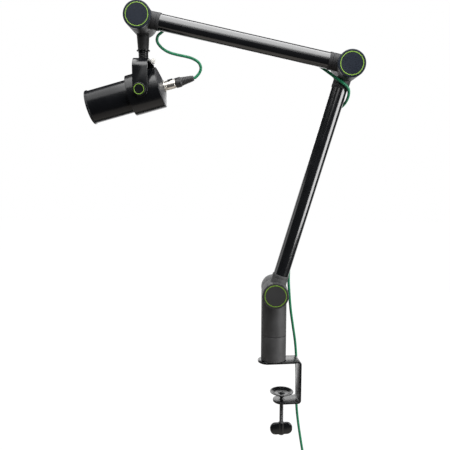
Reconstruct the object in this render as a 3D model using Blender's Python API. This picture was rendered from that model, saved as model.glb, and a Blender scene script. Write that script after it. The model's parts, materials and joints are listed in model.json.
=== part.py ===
"""Broadcast microphone on a two-section desk boom arm, with its desk clamp and its cable.

Every length below is in millimetres and becomes metres in metres(). +X is to the right, +Y to the rear
and +Z up. The origin lies on the post's swivel axis, in the plane of the desk top that the clamp grips.
The layers from front to rear: upper arm, then lower arm with neck and microphone, then post and clamp.
"""

import math

import bmesh
import bpy
from mathutils import Vector

MM = 0.001
ROUND = 28  # sides of a large round piece
SMALL = 14  # sides of a small one
FIT = 0.3  # gap between two pieces that touch

# Where the joints are, as (x, z)
BASE_PIVOT = (0.0, 158.0)
ELBOW_PIVOT = (130.6, 599.4)
HEAD_PIVOT = (-259.0, 688.4)
MIC_PIVOT = (-258.8, 556.6)
MIC_PITCH = math.radians(15.26)  # rear end above the front end
CLAMP_YAW = math.radians(8.0)

# Layers, as y
LOWER_Y = -38.0
UPPER_Y = -76.0
HOUSING_HALF = 19.0  # half the depth of a joint housing
JOINT_GAP = 0.5  # each housing stands this far off the plane between two layers
CAP_DEPTH = 7.0

# Joints and tubes
BASE_RADIUS = 26.2
JOINT_RADIUS = 25.4
COLLAR_RADIUS = 16.5
COLLAR_END = 40.0  # from the pivot
TUBE_RADIUS = 15.2
TUBE_WALL = 1.8
TUBE_INSET = 24.8  # from the pivot to the tube's end
CHANNEL_HALF = 3.6  # half the width of the cable channel in a tube
CHANNEL_FLOOR = 8.4  # from the tube's axis to the channel's floor
BOLT_RADIUS = 5.0
BOLT_HEAD_RADIUS = 8.5
RING_MIDDLE = 0.81  # a coloured ring's radius over its cap's radius
RING_HALF = 0.75

# Post and clamp
POST_RADIUS = 26.4
SOCKET_TOP = 60.0
SPIGOT_RADIUS = 9.0
BUSH_RADIUS = 12.0
BUSH_LOW = 20.0
SPIGOT_TOP = 100.0
STRAP_WIDTH = 40.0
STRAP_THICKNESS = 4.0
DESK_PAD = 1.0
STRAP_UNDER = DESK_PAD + FIT
STRAP_OUTER_X = 57.0
STRAP_LEFT_X = -33.0
FOOT_LEFT_X = 0.5
FOOT_TOP = -84.0
SCREW_X = 18.8
SCREW_RADIUS = 4.2
PAD_TOP = -66.0
PAD_RADIUS = 24.8
HANDLE_LOW, HANDLE_HIGH = -163.0, -137.0
HANDLE_WIDTH = 48.0

# Neck and yoke
NECK_TOP_RADIUS, NECK_LOW_RADIUS = 12.6, 10.3
NECK_LOW = -52.0  # below the head pivot
FLANGE_RADIUS = 12.8
ADAPTER_RADIUS = 9.6
YOKE_TOP = 617.0
YOKE_HALF = 46.0
YOKE_WIDTH = 28.6
YOKE_THICKNESS = 4.0
YOKE_CORNER = 19.0
KNOB_RADIUS = 12.4
KNOB_DEPTH = 9.6
STUD_RADIUS = 3.9  # of a knob's stud, which goes through the yoke into the microphone
STUD_HOLE = STUD_RADIUS + 0.4
THREAD_BORE = BOLT_RADIUS + FIT

# Microphone, along its own axis from the yoke's pivot
MIC_FRONT = -110.6
SHOULDER = -26.6
REAR_EDGE = 34.2
REAR_FACE = 41.0
LIP_RADIUS = 33.7
BARREL_RADIUS = 32.2
BODY_RADIUS = 39.5
SHELL_RADIUS = 9.2
SHELL_END = 64.0
BOOT_END = 100.6
BARREL_WALL = 2.0
HOUSING_WALL = 2.5
BOSS_RADIUS = 11.0  # round the studs, inside the rear housing
INNER_RADIUS = BARREL_RADIUS - BARREL_WALL - FIT  # of the pieces that fit in the barrel
CAPSULE_RADIUS = 14.0
PIN_CIRCLE = 4.0
PIN_RADIUS = 1.2
PIN_ANGLES = (90, 210, 330)
WINDOW_DROP = 9.0  # from the shell's end to the middle of its latch window

# Cable
CABLE_RADIUS = 2.75
CHANNEL_CABLE = 11.9  # from a tube's axis to the cable in its channel
HANK_RADIUS = 25.0  # of the round ends
HANK_LENGTH = 104.0
HANK_DEPTH = 22.0
HANK_FRONT_TURN = 8.25  # from the hank's middle to the turn that the cable comes from
HANK_TAIL = 22.0  # from the hank's middle to the run that ends in the plug

FACING_REAR = (-math.pi / 2, 0, 0)  # turns local +Z to +Y
FACING_FRONT = (math.pi / 2, 0, 0)  # turns local +Z to -Y
SIDEWAYS = (0, math.pi / 2, 0)  # turns local +Z to +X


def clear_scene():
    for thing in list(bpy.data.objects):
        bpy.data.objects.remove(thing, do_unlink=True)


def metres(point):
    return Vector(point) * MM


def material(name, colour, roughness, metallic=0.0):
    made = bpy.data.materials.new(name)
    made.use_nodes = True
    shader = made.node_tree.nodes["Principled BSDF"]
    shader.inputs["Base Color"].default_value = (*colour, 1)
    shader.inputs["Roughness"].default_value = roughness
    shader.inputs["Metallic"].default_value = metallic
    made.diffuse_color = (*colour, 1)
    return made


def frame(name, at=(0, 0, 0), turn=(0, 0, 0), parent=None):
    """An empty on a joint's axis, for the pieces that turn or slide about it."""
    empty = bpy.data.objects.new(name, None)
    bpy.context.collection.objects.link(empty)
    empty.location, empty.rotation_euler, empty.parent = metres(at), turn, parent
    return empty


def place(name, shape, look, parent, at=(0, 0, 0), turn=(0, 0, 0)):
    """Makes an object of a bmesh in millimetres."""
    bmesh.ops.recalc_face_normals(shape, faces=shape.faces)
    bmesh.ops.scale(shape, vec=(MM, MM, MM), verts=shape.verts)
    mesh = bpy.data.meshes.new(name)
    shape.to_mesh(mesh)
    shape.free()
    mesh.shade_smooth()
    mesh.set_sharp_from_angle(angle=math.radians(35))
    if look:
        mesh.materials.append(look)
    made = bpy.data.objects.new(name, mesh)
    bpy.context.collection.objects.link(made)
    made.location, made.rotation_euler, made.parent = metres(at), turn, parent
    return made


def shaped(target, operation, shape, at=(0, 0, 0), turn=(0, 0, 0)):
    """Cuts a shape from target, or joins it on, in the frame of target's parent."""
    count = len(target.modifiers)
    helper = place(f"{target.name}_{operation.lower()}_{count}", shape, None, target.parent, at, turn)
    helper.hide_render = True
    helper.display_type = "WIRE"
    modifier = target.modifiers.new(helper.name, "BOOLEAN")
    modifier.object, modifier.operation, modifier.solver = helper, operation, "EXACT"


def cut(target, shape, at=(0, 0, 0), turn=(0, 0, 0)):
    shaped(target, "DIFFERENCE", shape, at, turn)


def join(target, shape, at=(0, 0, 0), turn=(0, 0, 0)):
    shaped(target, "UNION", shape, at, turn)


def turned(outline, sides=ROUND):
    """A closed outline of (radius, height) points, turned about Z."""
    shape = bmesh.new()
    points = [shape.verts.new((radius, 0, height)) for radius, height in outline]
    pairs = zip(points, points[1:] + points[:1])
    edges = [shape.edges.new(pair) for pair in pairs if pair[0].co.x > 0 or pair[1].co.x > 0]
    bmesh.ops.spin(
        shape, geom=points + edges, axis=(0, 0, 1), cent=(0, 0, 0), angle=math.tau, steps=sides, use_merge=True
    )
    bmesh.ops.remove_doubles(shape, verts=shape.verts, dist=1e-4)
    return shape


def cylinder(radius, low, high, sides=ROUND, chamfer=0.0):
    if chamfer:
        return turned(
            [
                (0, low),
                (radius - chamfer, low),
                (radius, low + chamfer),
                (radius, high - chamfer),
                (radius - chamfer, high),
                (0, high),
            ],
            sides,
        )
    return turned([(0, low), (radius, low), (radius, high), (0, high)], sides)


def sleeve(inner, outer, low, high, sides=ROUND):
    return turned([(inner, low), (outer, low), (outer, high), (inner, high)], sides)


def arc(centre, radius, start, end, steps):
    """Points of an arc, from start to end in degrees."""
    angles = [math.radians(start + (end - start) * i / steps) for i in range(steps + 1)]
    return [(centre[0] + radius * math.cos(a), centre[1] + radius * math.sin(a)) for a in angles]


def extruded(outline, low, high):
    """An outline of (x, y) points, extruded along Z."""
    shape = bmesh.new()
    bottom = shape.faces.new([shape.verts.new((x, y, low)) for x, y in outline])
    top = bmesh.ops.extrude_face_region(shape, geom=[bottom], use_keep_orig=True)["geom"]
    lifted = [part for part in top if isinstance(part, bmesh.types.BMVert)]
    bmesh.ops.translate(shape, vec=(0, 0, high - low), verts=lifted)
    return shape


def rounded_rectangle(width, height, radius, steps=5):
    x, y = width / 2 - radius, height / 2 - radius
    corners = ((x, y, 0), (-x, y, 90), (-x, -y, 180), (x, -y, 270))
    return [point for cx, cy, start in corners for point in arc((cx, cy), radius, start, start + 90, steps)]


def slab(x0, x1, width, low, high, end_radius):
    """A flat bar along X, whose left end is rounded."""
    outline = [(x1, -width / 2), (x1, width / 2)]
    outline += arc((x0 + end_radius, width / 2 - end_radius), end_radius, 90, 180, 6)
    outline += arc((x0 + end_radius, end_radius - width / 2), end_radius, 180, 270, 6)
    return extruded(outline, low, high)


def hollow_bar(outer, inner, low, high):
    """A bar between two outlines that have the same number of points."""
    shape = bmesh.new()
    loops = [
        [shape.verts.new((x, y, z)) for x, y in outline] for z in (low, high) for outline in (outer, inner)
    ]
    count = len(outer)
    for first, second in ((0, 1), (1, 3), (3, 2), (2, 0)):
        for i in range(count):
            j = (i + 1) % count
            shape.faces.new((loops[first][i], loops[first][j], loops[second][j], loops[second][i]))
    return shape


def smooth_route(points, spacing):
    """Points about spacing apart on a smooth curve through the given ones."""
    knots = [Vector(point) for point in points]
    knots = [2 * knots[0] - knots[1], *knots, 2 * knots[-1] - knots[-2]]
    route = [knots[1]]
    for before, start, end, after in zip(knots, knots[1:], knots[2:], knots[3:]):
        steps = max(1, round((end - start).length / spacing))
        for i in range(1, steps + 1):
            t = i / steps
            route.append(
                0.5
                * (
                    2 * start
                    + (end - before) * t
                    + (2 * before - 5 * start + 4 * end - after) * t**2
                    + (3 * start - before - 3 * end + after) * t**3
                )
            )
    return route


def wire(name, route, radius, look, parent=None, resolution=2):
    """A round wire or cable along a route."""
    curve = bpy.data.curves.new(name, "CURVE")
    curve.dimensions = "3D"
    curve.bevel_depth = radius * MM
    curve.bevel_resolution = resolution
    curve.use_fill_caps = True
    spline = curve.splines.new("POLY")
    spline.points.add(len(route) - 1)
    for point, place_at in zip(spline.points, route):
        point.co = (*metres(place_at), 1)
    curve.materials.append(look)
    made = bpy.data.objects.new(name, curve)
    bpy.context.collection.objects.link(made)
    made.parent = parent
    return made


# ---------------------------------------------------------------- joints


def housing(name, parent, look, at_z, layer_y, radius, collar_side, bolt_head=False):
    """A round joint housing about Y with a collar that holds a tube's end.

    collar_side is +1 where the tube leaves towards +Z. A housing with bolt_head is the front one of its
    joint: the bolt's head sinks into it. The other holds the bolt's threaded end.
    """
    front = layer_y - HOUSING_HALF + (0 if bolt_head else JOINT_GAP)
    rear = layer_y + HOUSING_HALF - (JOINT_GAP if bolt_head else 0)
    made = place(name, cylinder(radius, front, rear, chamfer=0.8), look, parent, (0, 0, at_z), FACING_REAR)
    if collar_side:
        low, high = sorted((0, collar_side * COLLAR_END))
        join(made, cylinder(COLLAR_RADIUS, low, high, chamfer=0.6), (0, layer_y, at_z))
        low, high = sorted((collar_side * (TUBE_INSET - FIT), collar_side * (COLLAR_END + 5)))
        cut(made, cylinder(TUBE_RADIUS + FIT, low, high), (0, layer_y, at_z))
    drill_pivot(made, at_z, front, rear, bolt_head)
    return made


def drill_pivot(target, at_z, front, rear, bolt_head):
    """The bolt's hole about Y: through with a sunk head, or blind from the front."""
    if bolt_head:
        recess = cylinder(BOLT_HEAD_RADIUS + 0.5, front - 1, front + 8, SMALL)
        cut(target, recess, (0, 0, at_z), FACING_REAR)
        bore = cylinder(BOLT_RADIUS + FIT, front + 7, rear + 1, SMALL)
    else:
        bore = cylinder(BOLT_RADIUS + FIT, front - 1, rear - 7, SMALL)
    cut(target, bore, (0, 0, at_z), FACING_REAR)


def pivot_bolt(name, parent, look, at_z, front):
    """front is the face of the front housing, and the bolt reaches deep into the rear one."""
    head, shank = front + 1.5, front + 4 * HOUSING_HALF - 8
    outline = [
        (0, head),
        (BOLT_HEAD_RADIUS, head),
        (BOLT_HEAD_RADIUS, head + 5.5),
        (BOLT_RADIUS, head + 5.5),
        (BOLT_RADIUS, shank),
        (0, shank),
    ]
    return place(name, turned(outline, SMALL), look, parent, (0, 0, at_z), FACING_REAR)


def ringed_cap(name, parent, look, ring_look, at, radius):
    """A front cap with a groove, and the coloured ring that fills it."""
    middle = radius * RING_MIDDLE
    inner, outer = middle - RING_HALF - FIT, middle + RING_HALF + FIT
    outline = [
        (0, 0),
        (inner, 0),
        (inner, 1.2),
        (outer, 1.2),
        (outer, 0),
        (radius - 1.2, 0),
        (radius, 1.2),
        (radius, CAP_DEPTH - FIT),
        (0, CAP_DEPTH - FIT),
    ]
    place(f"{name}_cap", turned(outline), look, parent, at, FACING_REAR)
    ring = sleeve(middle - RING_HALF, middle + RING_HALF, -0.1, 0.9)
    place(f"{name}_ring", ring, ring_look, parent, at, FACING_REAR)


def plain_cap(name, parent, look, at, radius):
    outline = [
        (0, 0),
        (radius - 1.2, 0),
        (radius, 1.2),
        (radius, CAP_DEPTH - FIT),
        (0, CAP_DEPTH - FIT),
    ]
    place(name, turned(outline), look, parent, at, FACING_FRONT)


# ---------------------------------------------------------------- clamp and post


def make_clamp(clamp, screw_frame, looks):
    bracket = place("clamp_bracket", bracket_shape(), looks["black_steel"], clamp, turn=FACING_FRONT)
    sink = [(0, 0), (7.4, 0), (7.4, STRAP_UNDER + 0.6), (4.6, STRAP_UNDER + 3.4), (4.6, 20), (0, 20)]
    cut(bracket, turned(sink, SMALL))
    cut(bracket, cylinder(7.1, FOOT_TOP - 10, FOOT_TOP + 10, SMALL), (SCREW_X, 0, 0))

    pad = slab(STRAP_LEFT_X + 2, STRAP_OUTER_X - 14, STRAP_WIDTH - 4, 0, DESK_PAD, STRAP_WIDTH / 2 - 3)
    place("desk_pad", pad, looks["rubber"], clamp)

    nut = [
        (SCREW_RADIUS + FIT, -4.4 - 2.6),
        (8.6, -4.4 - 2.6),
        (8.6, -4.4),
        (6.8, -4.4),
        (6.8, 0.3),
        (SCREW_RADIUS + FIT, 0.3),
    ]
    place("foot_nut", turned(nut, SMALL), looks["black_steel"], clamp, (SCREW_X, 0, FOOT_TOP))

    make_pressure_pad(screw_frame, looks)
    make_clamp_screw(screw_frame, looks)


def bracket_shape():
    """The bent strap as an outline in X and Z, with both free ends rounded."""
    top, under = STRAP_UNDER + STRAP_THICKNESS, STRAP_UNDER
    low = FOOT_TOP - STRAP_THICKNESS
    outer, inner = 7.0, 7.0 - STRAP_THICKNESS
    x_bend, x_inner = STRAP_OUTER_X - outer, STRAP_OUTER_X - STRAP_THICKNESS
    outline = [(STRAP_LEFT_X, under), (STRAP_LEFT_X, top)]
    outline += arc((x_bend, top - outer), outer, 90, 0, 5)
    outline += arc((x_bend, low + outer), outer, 0, -90, 5)
    outline += [(FOOT_LEFT_X, low), (FOOT_LEFT_X, FOOT_TOP)]
    outline += arc((x_inner - inner, FOOT_TOP + inner), inner, -90, 0, 4)
    outline += arc((x_inner - inner, under - inner), inner, 0, 90, 4)
    shape = extruded(outline, -STRAP_WIDTH / 2, STRAP_WIDTH / 2)
    shape.faces.ensure_lookup_table()
    free_ends = [
        edge
        for edge in shape.edges
        if all(vert.co.x in (STRAP_LEFT_X, FOOT_LEFT_X) for vert in edge.verts)
        and edge.verts[0].co.z == edge.verts[1].co.z
    ]
    bmesh.ops.bevel(
        shape,
        geom=free_ends,
        offset=STRAP_WIDTH / 2 - 1,
        offset_type="OFFSET",
        segments=8,
        profile=0.5,
        affect="EDGES",
    )
    return shape


def make_pressure_pad(screw_frame, looks):
    outline = [
        (3.2, -3.2),
        (6.0, -3.2),
        (7.5, -4.4),
        (15.0, -3.6),
        (22.4, 0),
        (PAD_RADIUS, 0),
        (PAD_RADIUS, -1.5),
        (18.0, -4.6),
        (9.0, -7.0),
        (8.0, -10.5),
        (3.2, -10.5),
    ]
    place("pressure_pad", turned(outline), looks["black_steel"], screw_frame, (0, 0, PAD_TOP))


def make_clamp_screw(screw_frame, looks):
    """The rod, with a neck through the pad and an end that is riveted over in its cup."""
    hub_low = PAD_TOP - 10.5 - FIT
    rivet = PAD_TOP - 3.2 + FIT
    outline = [
        (0, HANDLE_LOW + 8),
        (SCREW_RADIUS, HANDLE_LOW + 8),
        (SCREW_RADIUS, hub_low),
        (2.8, hub_low),
        (2.8, rivet),
        (4.6, rivet),
        (3.4, rivet + 1.6),
        (0, rivet + 2.2),
    ]
    place("clamp_screw", turned(outline, SMALL), looks["black_steel"], screw_frame)

    height = HANDLE_HIGH - HANDLE_LOW
    middle = (HANDLE_HIGH + HANDLE_LOW) / 2
    wings = extruded(rounded_rectangle(HANDLE_WIDTH, height, 11.5), -4, 4)
    handle = place("wing_handle", wings, looks["black_steel"], screw_frame, (0, 0, middle), FACING_REAR)
    join(handle, cylinder(6.2, HANDLE_LOW - 0.4, HANDLE_HIGH + 0.8, SMALL, chamfer=1))
    cut(handle, cylinder(SCREW_RADIUS + FIT, HANDLE_LOW + 8 - FIT, HANDLE_HIGH + 5, SMALL))


def make_post(clamp, post, looks):
    socket_low = STRAP_UNDER + STRAP_THICKNESS + FIT
    outline = [
        (0, socket_low),
        (POST_RADIUS - 2, socket_low),
        (POST_RADIUS, socket_low + 2),
        (POST_RADIUS, SOCKET_TOP - 1),
        (POST_RADIUS - 1, SOCKET_TOP),
        (BUSH_RADIUS + FIT, SOCKET_TOP),
        (BUSH_RADIUS + FIT, BUSH_LOW),
        (0, BUSH_LOW),
    ]
    socket = place("post_socket", turned(outline), looks["powder_coat"], clamp)
    cut(socket, cylinder(4.3, 0, 17, SMALL))
    bush = sleeve(SPIGOT_RADIUS + 0.5, BUSH_RADIUS, BUSH_LOW + FIT, SOCKET_TOP - 0.5, SMALL)
    place("swivel_bush", bush, looks["nylon"], clamp)
    screw = [(0, 1.5), (7.0, 1.5), (7.0, 2.0), (4.0, 5.0), (4.0, 16.5), (0, 16.5)]
    place("socket_screw", turned(screw, SMALL), looks["steel"], clamp)

    column_low = SOCKET_TOP + 1
    x, z = BASE_PIVOT
    hole = SPIGOT_RADIUS + FIT
    outline = [(0, SPIGOT_TOP), (hole, SPIGOT_TOP), (hole, column_low), (POST_RADIUS - 1, column_low)]
    outline += [(POST_RADIUS, column_low + 1), (POST_RADIUS, z - 3.7), (0, z - 3.7)]
    column = place("post_column", turned(outline), looks["powder_coat"], post)
    front, rear = -HOUSING_HALF + JOINT_GAP, HOUSING_HALF
    clear = BASE_RADIUS + 1
    tongue_step = 0.5  # the column's tongue is a little thinner than the disc on it
    cut(column, cylinder(clear, front - 30, front + tongue_step), (x, 0, z), FACING_REAR)
    cut(column, cylinder(clear, rear - tongue_step, rear + 30), (x, 0, z), FACING_REAR)
    join(column, cylinder(BASE_RADIUS, front, rear, chamfer=0.8), (x, 0, z), FACING_REAR)
    drill_pivot(column, z, front, rear, False)
    spigot = cylinder(SPIGOT_RADIUS, BUSH_LOW + 1, SPIGOT_TOP - 0.5, SMALL, chamfer=1)
    place("swivel_spigot", spigot, looks["steel"], post)
    plain_cap("base_rear_cap", post, looks["cap"], (x, rear + CAP_DEPTH, z), BASE_RADIUS)


# ---------------------------------------------------------------- arms


def channel_outlines():
    """The outer and inner outline of an arm tube, with its cable channel facing +Y."""
    inner_radius = TUBE_RADIUS - TUBE_WALL
    inner_half = CHANNEL_HALF + 1.6
    outer_open = math.degrees(math.asin(CHANNEL_HALF / TUBE_RADIUS))
    inner_open = math.degrees(math.asin(inner_half / inner_radius))
    outer = arc((0, 0), TUBE_RADIUS, 90 + outer_open, 450 - outer_open, ROUND)
    inner = arc((0, 0), inner_radius, 90 + inner_open, 450 - inner_open, ROUND)
    outer += [(CHANNEL_HALF, CHANNEL_FLOOR), (-CHANNEL_HALF, CHANNEL_FLOOR)]
    inner += [(inner_half, CHANNEL_FLOOR - 1.6), (-inner_half, CHANNEL_FLOOR - 1.6)]
    return outer, inner


def arm_tube(name, parent, look, length, layer_y):
    tube = hollow_bar(*channel_outlines(), TUBE_INSET, length - TUBE_INSET)
    place(name, tube, look, parent, (0, layer_y, 0))


def arm_spring(name, parent, looks, near, far, layer_y):
    """A tension spring between a housing at near and an anchor plug at far, beside the cable channel."""
    axis_y = layer_y - 3.6
    turns, per_turn, radius = 11, 7, 6.6
    start, end = near + 30, far - 22
    route = [(0, axis_y, near), (0, axis_y, start - 6)]
    for i in range(turns * per_turn + 1):
        angle = math.tau * i / per_turn
        z = start + (end - start) * i / (turns * per_turn)
        route.append((radius * math.cos(angle), axis_y + radius * math.sin(angle), z))
    route += [(0, axis_y, end + 6), (0, axis_y, far - FIT)]
    wire(name, route, 1.1, looks["steel"], parent, resolution=0)
    plug = extruded(arc((0, 0), 8.6, 0, 360 - 20, 17), far, far + 8)
    place(f"{name}_anchor", plug, looks["steel"], parent, (0, axis_y, 0))


def make_lower_arm(arm, length, looks):
    housing("base_housing", arm, looks["powder_coat"], 0, LOWER_Y, BASE_RADIUS, 1, bolt_head=True)
    arm_tube("lower_tube", arm, looks["satin_black"], length, LOWER_Y)
    housing("lower_elbow_housing", arm, looks["powder_coat"], length, LOWER_Y, JOINT_RADIUS, -1)
    front = LOWER_Y - HOUSING_HALF
    ringed_cap("base", arm, looks["cap"], looks["green_ring"], (0, front - CAP_DEPTH, 0), BASE_RADIUS)
    rear = LOWER_Y + HOUSING_HALF + CAP_DEPTH
    plain_cap("elbow_rear_cap", arm, looks["cap"], (0, rear, length), JOINT_RADIUS)
    pivot_bolt("base_bolt", arm, looks["steel"], 0, front)
    arm_spring("lower_spring", arm, looks, TUBE_INSET + 1, 300, LOWER_Y)


def make_upper_arm(arm, length, looks):
    housing("upper_elbow_housing", arm, looks["powder_coat"], 0, UPPER_Y, JOINT_RADIUS, 1, bolt_head=True)
    arm_tube("upper_tube", arm, looks["satin_black"], length, UPPER_Y)
    housing("head_housing", arm, looks["powder_coat"], length, UPPER_Y, JOINT_RADIUS, -1, bolt_head=True)
    front = UPPER_Y - HOUSING_HALF
    for name, at_z in (("elbow", 0), ("head", length)):
        at = (0, front - CAP_DEPTH, at_z)
        ringed_cap(name, arm, looks["cap"], looks["green_ring"], at, JOINT_RADIUS)
        pivot_bolt(f"{name}_bolt", arm, looks["steel"], at_z, front)
    arm_spring("upper_spring", arm, looks, TUBE_INSET + 1, 260, UPPER_Y)


# ---------------------------------------------------------------- neck and yoke


def make_neck(head, looks):
    neck = housing("neck_housing", head, looks["powder_coat"], 0, LOWER_Y, JOINT_RADIUS, 0)
    stub = [
        (0, NECK_LOW),
        (NECK_LOW_RADIUS, NECK_LOW),
        (NECK_TOP_RADIUS, -16),
        (NECK_TOP_RADIUS, -10),
        (0, -10),
    ]
    join(neck, turned(stub), (0, LOWER_Y, 0))
    cut(neck, cylinder(THREAD_BORE, NECK_LOW - 5, NECK_LOW + 14, SMALL), (0, LOWER_Y, 0))
    rear = LOWER_Y + HOUSING_HALF + CAP_DEPTH
    plain_cap("head_rear_cap", head, looks["cap"], (0, rear, 0), JOINT_RADIUS)

    flange_low = NECK_LOW - FIT - 2.6
    flange = sleeve(THREAD_BORE, FLANGE_RADIUS, flange_low, NECK_LOW - FIT)
    place("neck_flange", flange, looks["satin_black"], head, (0, LOWER_Y, 0))
    adapter = sleeve(THREAD_BORE, ADAPTER_RADIUS, YOKE_TOP + FIT - HEAD_PIVOT[1], flange_low - FIT)
    place("thread_adapter", adapter, looks["satin_black"], head, (0, LOWER_Y, 0))


def make_yoke(yoke, looks):
    """The strap is drawn in Y and Z, about the microphone's pivot, and extruded along X."""
    top = YOKE_TOP - MIC_PIVOT[1]
    inner_half, inner_corner = YOKE_HALF - YOKE_THICKNESS, YOKE_CORNER - YOKE_THICKNESS
    middle = YOKE_HALF - YOKE_CORNER
    outline = [(YOKE_HALF, 0)]
    outline += arc((middle, top - YOKE_CORNER), YOKE_CORNER, 0, 90, 6)
    outline += arc((-middle, top - YOKE_CORNER), YOKE_CORNER, 90, 180, 6)
    outline += [(-YOKE_HALF, 0), (-inner_half, 0)]
    outline += arc((-middle, top - YOKE_CORNER), inner_corner, 180, 90, 6)
    outline += arc((middle, top - YOKE_CORNER), inner_corner, 90, 0, 6)
    outline += [(inner_half, 0)]
    half = YOKE_WIDTH / 2
    drop = MIC_PIVOT[1] - HEAD_PIVOT[1]
    shift = MIC_PIVOT[0] - HEAD_PIVOT[0]
    strap = place(
        "yoke_bracket",
        extruded(outline, -half, half),
        looks["satin_black"],
        yoke,
        (shift, LOWER_Y, drop),
        (math.pi / 2, 0, math.pi / 2),
    )
    for low, high in ((-YOKE_HALF, -inner_half), (inner_half, YOKE_HALF)):
        join(strap, cylinder(half, low, high), (shift, LOWER_Y, drop), FACING_REAR)
    through = YOKE_HALF + 10
    cut(strap, cylinder(STUD_HOLE, -through, through, SMALL), (shift, LOWER_Y, drop), FACING_REAR)
    cut(strap, cylinder(5.2, 40, 80, SMALL), (0, LOWER_Y, drop))

    strap_under = YOKE_TOP - YOKE_THICKNESS - HEAD_PIVOT[1]
    bolt = [
        (0, strap_under - 3),
        (7.6, strap_under - 3),
        (7.6, strap_under - FIT),
        (4.8, strap_under - FIT),
        (4.8, NECK_LOW + 13),
        (0, NECK_LOW + 13),
    ]
    place("yoke_bolt", turned(bolt, SMALL), looks["steel"], yoke, (0, LOWER_Y, 0))
    screw = cylinder(5.0, YOKE_WIDTH / 2 + shift + FIT, YOKE_WIDTH / 2 + shift + 7.5, SMALL, chamfer=0.8)
    screw_z = YOKE_TOP - HEAD_PIVOT[1] - 1.5
    place("yoke_lock_screw", screw, looks["steel"], yoke, (0, LOWER_Y, screw_z), SIDEWAYS)


def knob_outline(ring):
    """A clamping knob with its stud. Its outer face is at height 0."""
    stud_end = KNOB_DEPTH + FIT + YOKE_THICKNESS + 6
    middle = KNOB_RADIUS * 0.74
    groove = [
        (middle - RING_HALF, 0),
        (middle - RING_HALF, 1.1),
        (middle + RING_HALF, 1.1),
        (middle + RING_HALF, 0),
    ]
    return [
        (0, 0),
        *(groove if ring else []),
        (KNOB_RADIUS - 1, 0),
        (KNOB_RADIUS, 1),
        (KNOB_RADIUS, KNOB_DEPTH),
        (STUD_RADIUS, KNOB_DEPTH),
        (STUD_RADIUS, stud_end),
        (0, stud_end),
    ]


def make_knobs(front_knob, rear_knob, looks):
    reach = YOKE_HALF + FIT + KNOB_DEPTH
    at = (0, -reach, 0)
    place("front_knob", turned(knob_outline(True)), looks["cap"], front_knob, at, FACING_REAR)
    ring = sleeve(KNOB_RADIUS * 0.74 - RING_HALF + 0.2, KNOB_RADIUS * 0.74 + RING_HALF - 0.2, -0.1, 0.9)
    place("front_knob_ring", ring, looks["green_ring"], front_knob, at, FACING_REAR)
    place("rear_knob", turned(knob_outline(False)), looks["cap"], rear_knob, (0, reach, 0), FACING_FRONT)


# ---------------------------------------------------------------- microphone


def make_microphone(mic, looks):
    bezel = [
        (BARREL_RADIUS - 2.4, MIC_FRONT),
        (LIP_RADIUS - 0.6, MIC_FRONT),
        (LIP_RADIUS, MIC_FRONT + 0.6),
        (LIP_RADIUS, MIC_FRONT + 3.2),
        (BARREL_RADIUS, MIC_FRONT + 3.6),
        (BARREL_RADIUS, MIC_FRONT + 4),
        (BARREL_RADIUS - 2.4, MIC_FRONT + 4),
    ]
    place("front_bezel", turned(bezel), looks["satin_black"], mic)
    barrel = sleeve(BARREL_RADIUS - BARREL_WALL, BARREL_RADIUS, MIC_FRONT + 4 + FIT, SHOULDER + 14)
    place("front_barrel", barrel, looks["satin_black"], mic)
    grille = cylinder(INNER_RADIUS, MIC_FRONT + 4 + FIT, MIC_FRONT + 5.5)
    place("front_grille", grille, looks["black_steel"], mic)
    foam = cylinder(INNER_RADIUS, MIC_FRONT + 6, MIC_FRONT + 16, SMALL)
    place("foam_filter", foam, looks["foam"], mic)

    shell = [
        (BARREL_RADIUS + FIT, SHOULDER),
        (BODY_RADIUS - 0.8, SHOULDER),
        (BODY_RADIUS, SHOULDER + 0.8),
        (BODY_RADIUS, REAR_EDGE - FIT),
        (BODY_RADIUS - HOUSING_WALL, REAR_EDGE - FIT),
        (BODY_RADIUS - HOUSING_WALL, SHOULDER + 3),
        (BARREL_RADIUS + FIT, SHOULDER + 3),
    ]
    body = place("rear_housing", turned(shell), looks["satin_black"], mic)
    for low, high in ((-41.6, -34), (34, 41.6)):
        join(body, cylinder(BOSS_RADIUS, low, high, SMALL), turn=FACING_REAR)
    cut(body, cylinder(STUD_HOLE, -BODY_RADIUS - 10, BODY_RADIUS + 10, SMALL), turn=FACING_REAR)

    dome = [
        (9.8, REAR_EDGE - 6),
        (12.5, REAR_EDGE - 6),
        (12.5, REAR_EDGE),
        (BODY_RADIUS, REAR_EDGE),
        (BODY_RADIUS - 0.4, REAR_EDGE + 0.8),
        (26, REAR_EDGE + 4.4),
        (14, REAR_FACE),
        (9.8, REAR_FACE),
    ]
    place("rear_cover", turned(dome), looks["grey_satin"], mic)
    make_capsule(mic, looks)
    make_connector(mic, looks)


def make_capsule(mic, looks):
    capsule_z = MIC_FRONT + 30
    capsule = cylinder(CAPSULE_RADIUS, capsule_z - 9, capsule_z + 9, SMALL, chamfer=1.5)
    place("capsule", capsule, looks["brass"], mic)
    mount = [
        (CAPSULE_RADIUS + FIT, capsule_z - 3),
        (20, capsule_z - 1.5),
        (26, capsule_z - 3),
        (INNER_RADIUS, capsule_z - 3),
        (INNER_RADIUS, capsule_z + 3),
        (26, capsule_z + 3),
        (20, capsule_z + 1.5),
        (CAPSULE_RADIUS + FIT, capsule_z + 3),
    ]
    place("capsule_mount", turned(mount, SMALL), looks["rubber"], mic)
    board = extruded(rounded_rectangle(40, 74, 3, 2), -0.8, 0.8)
    place("circuit_board", board, looks["board"], mic, (0, 0, -22), FACING_REAR)


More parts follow.
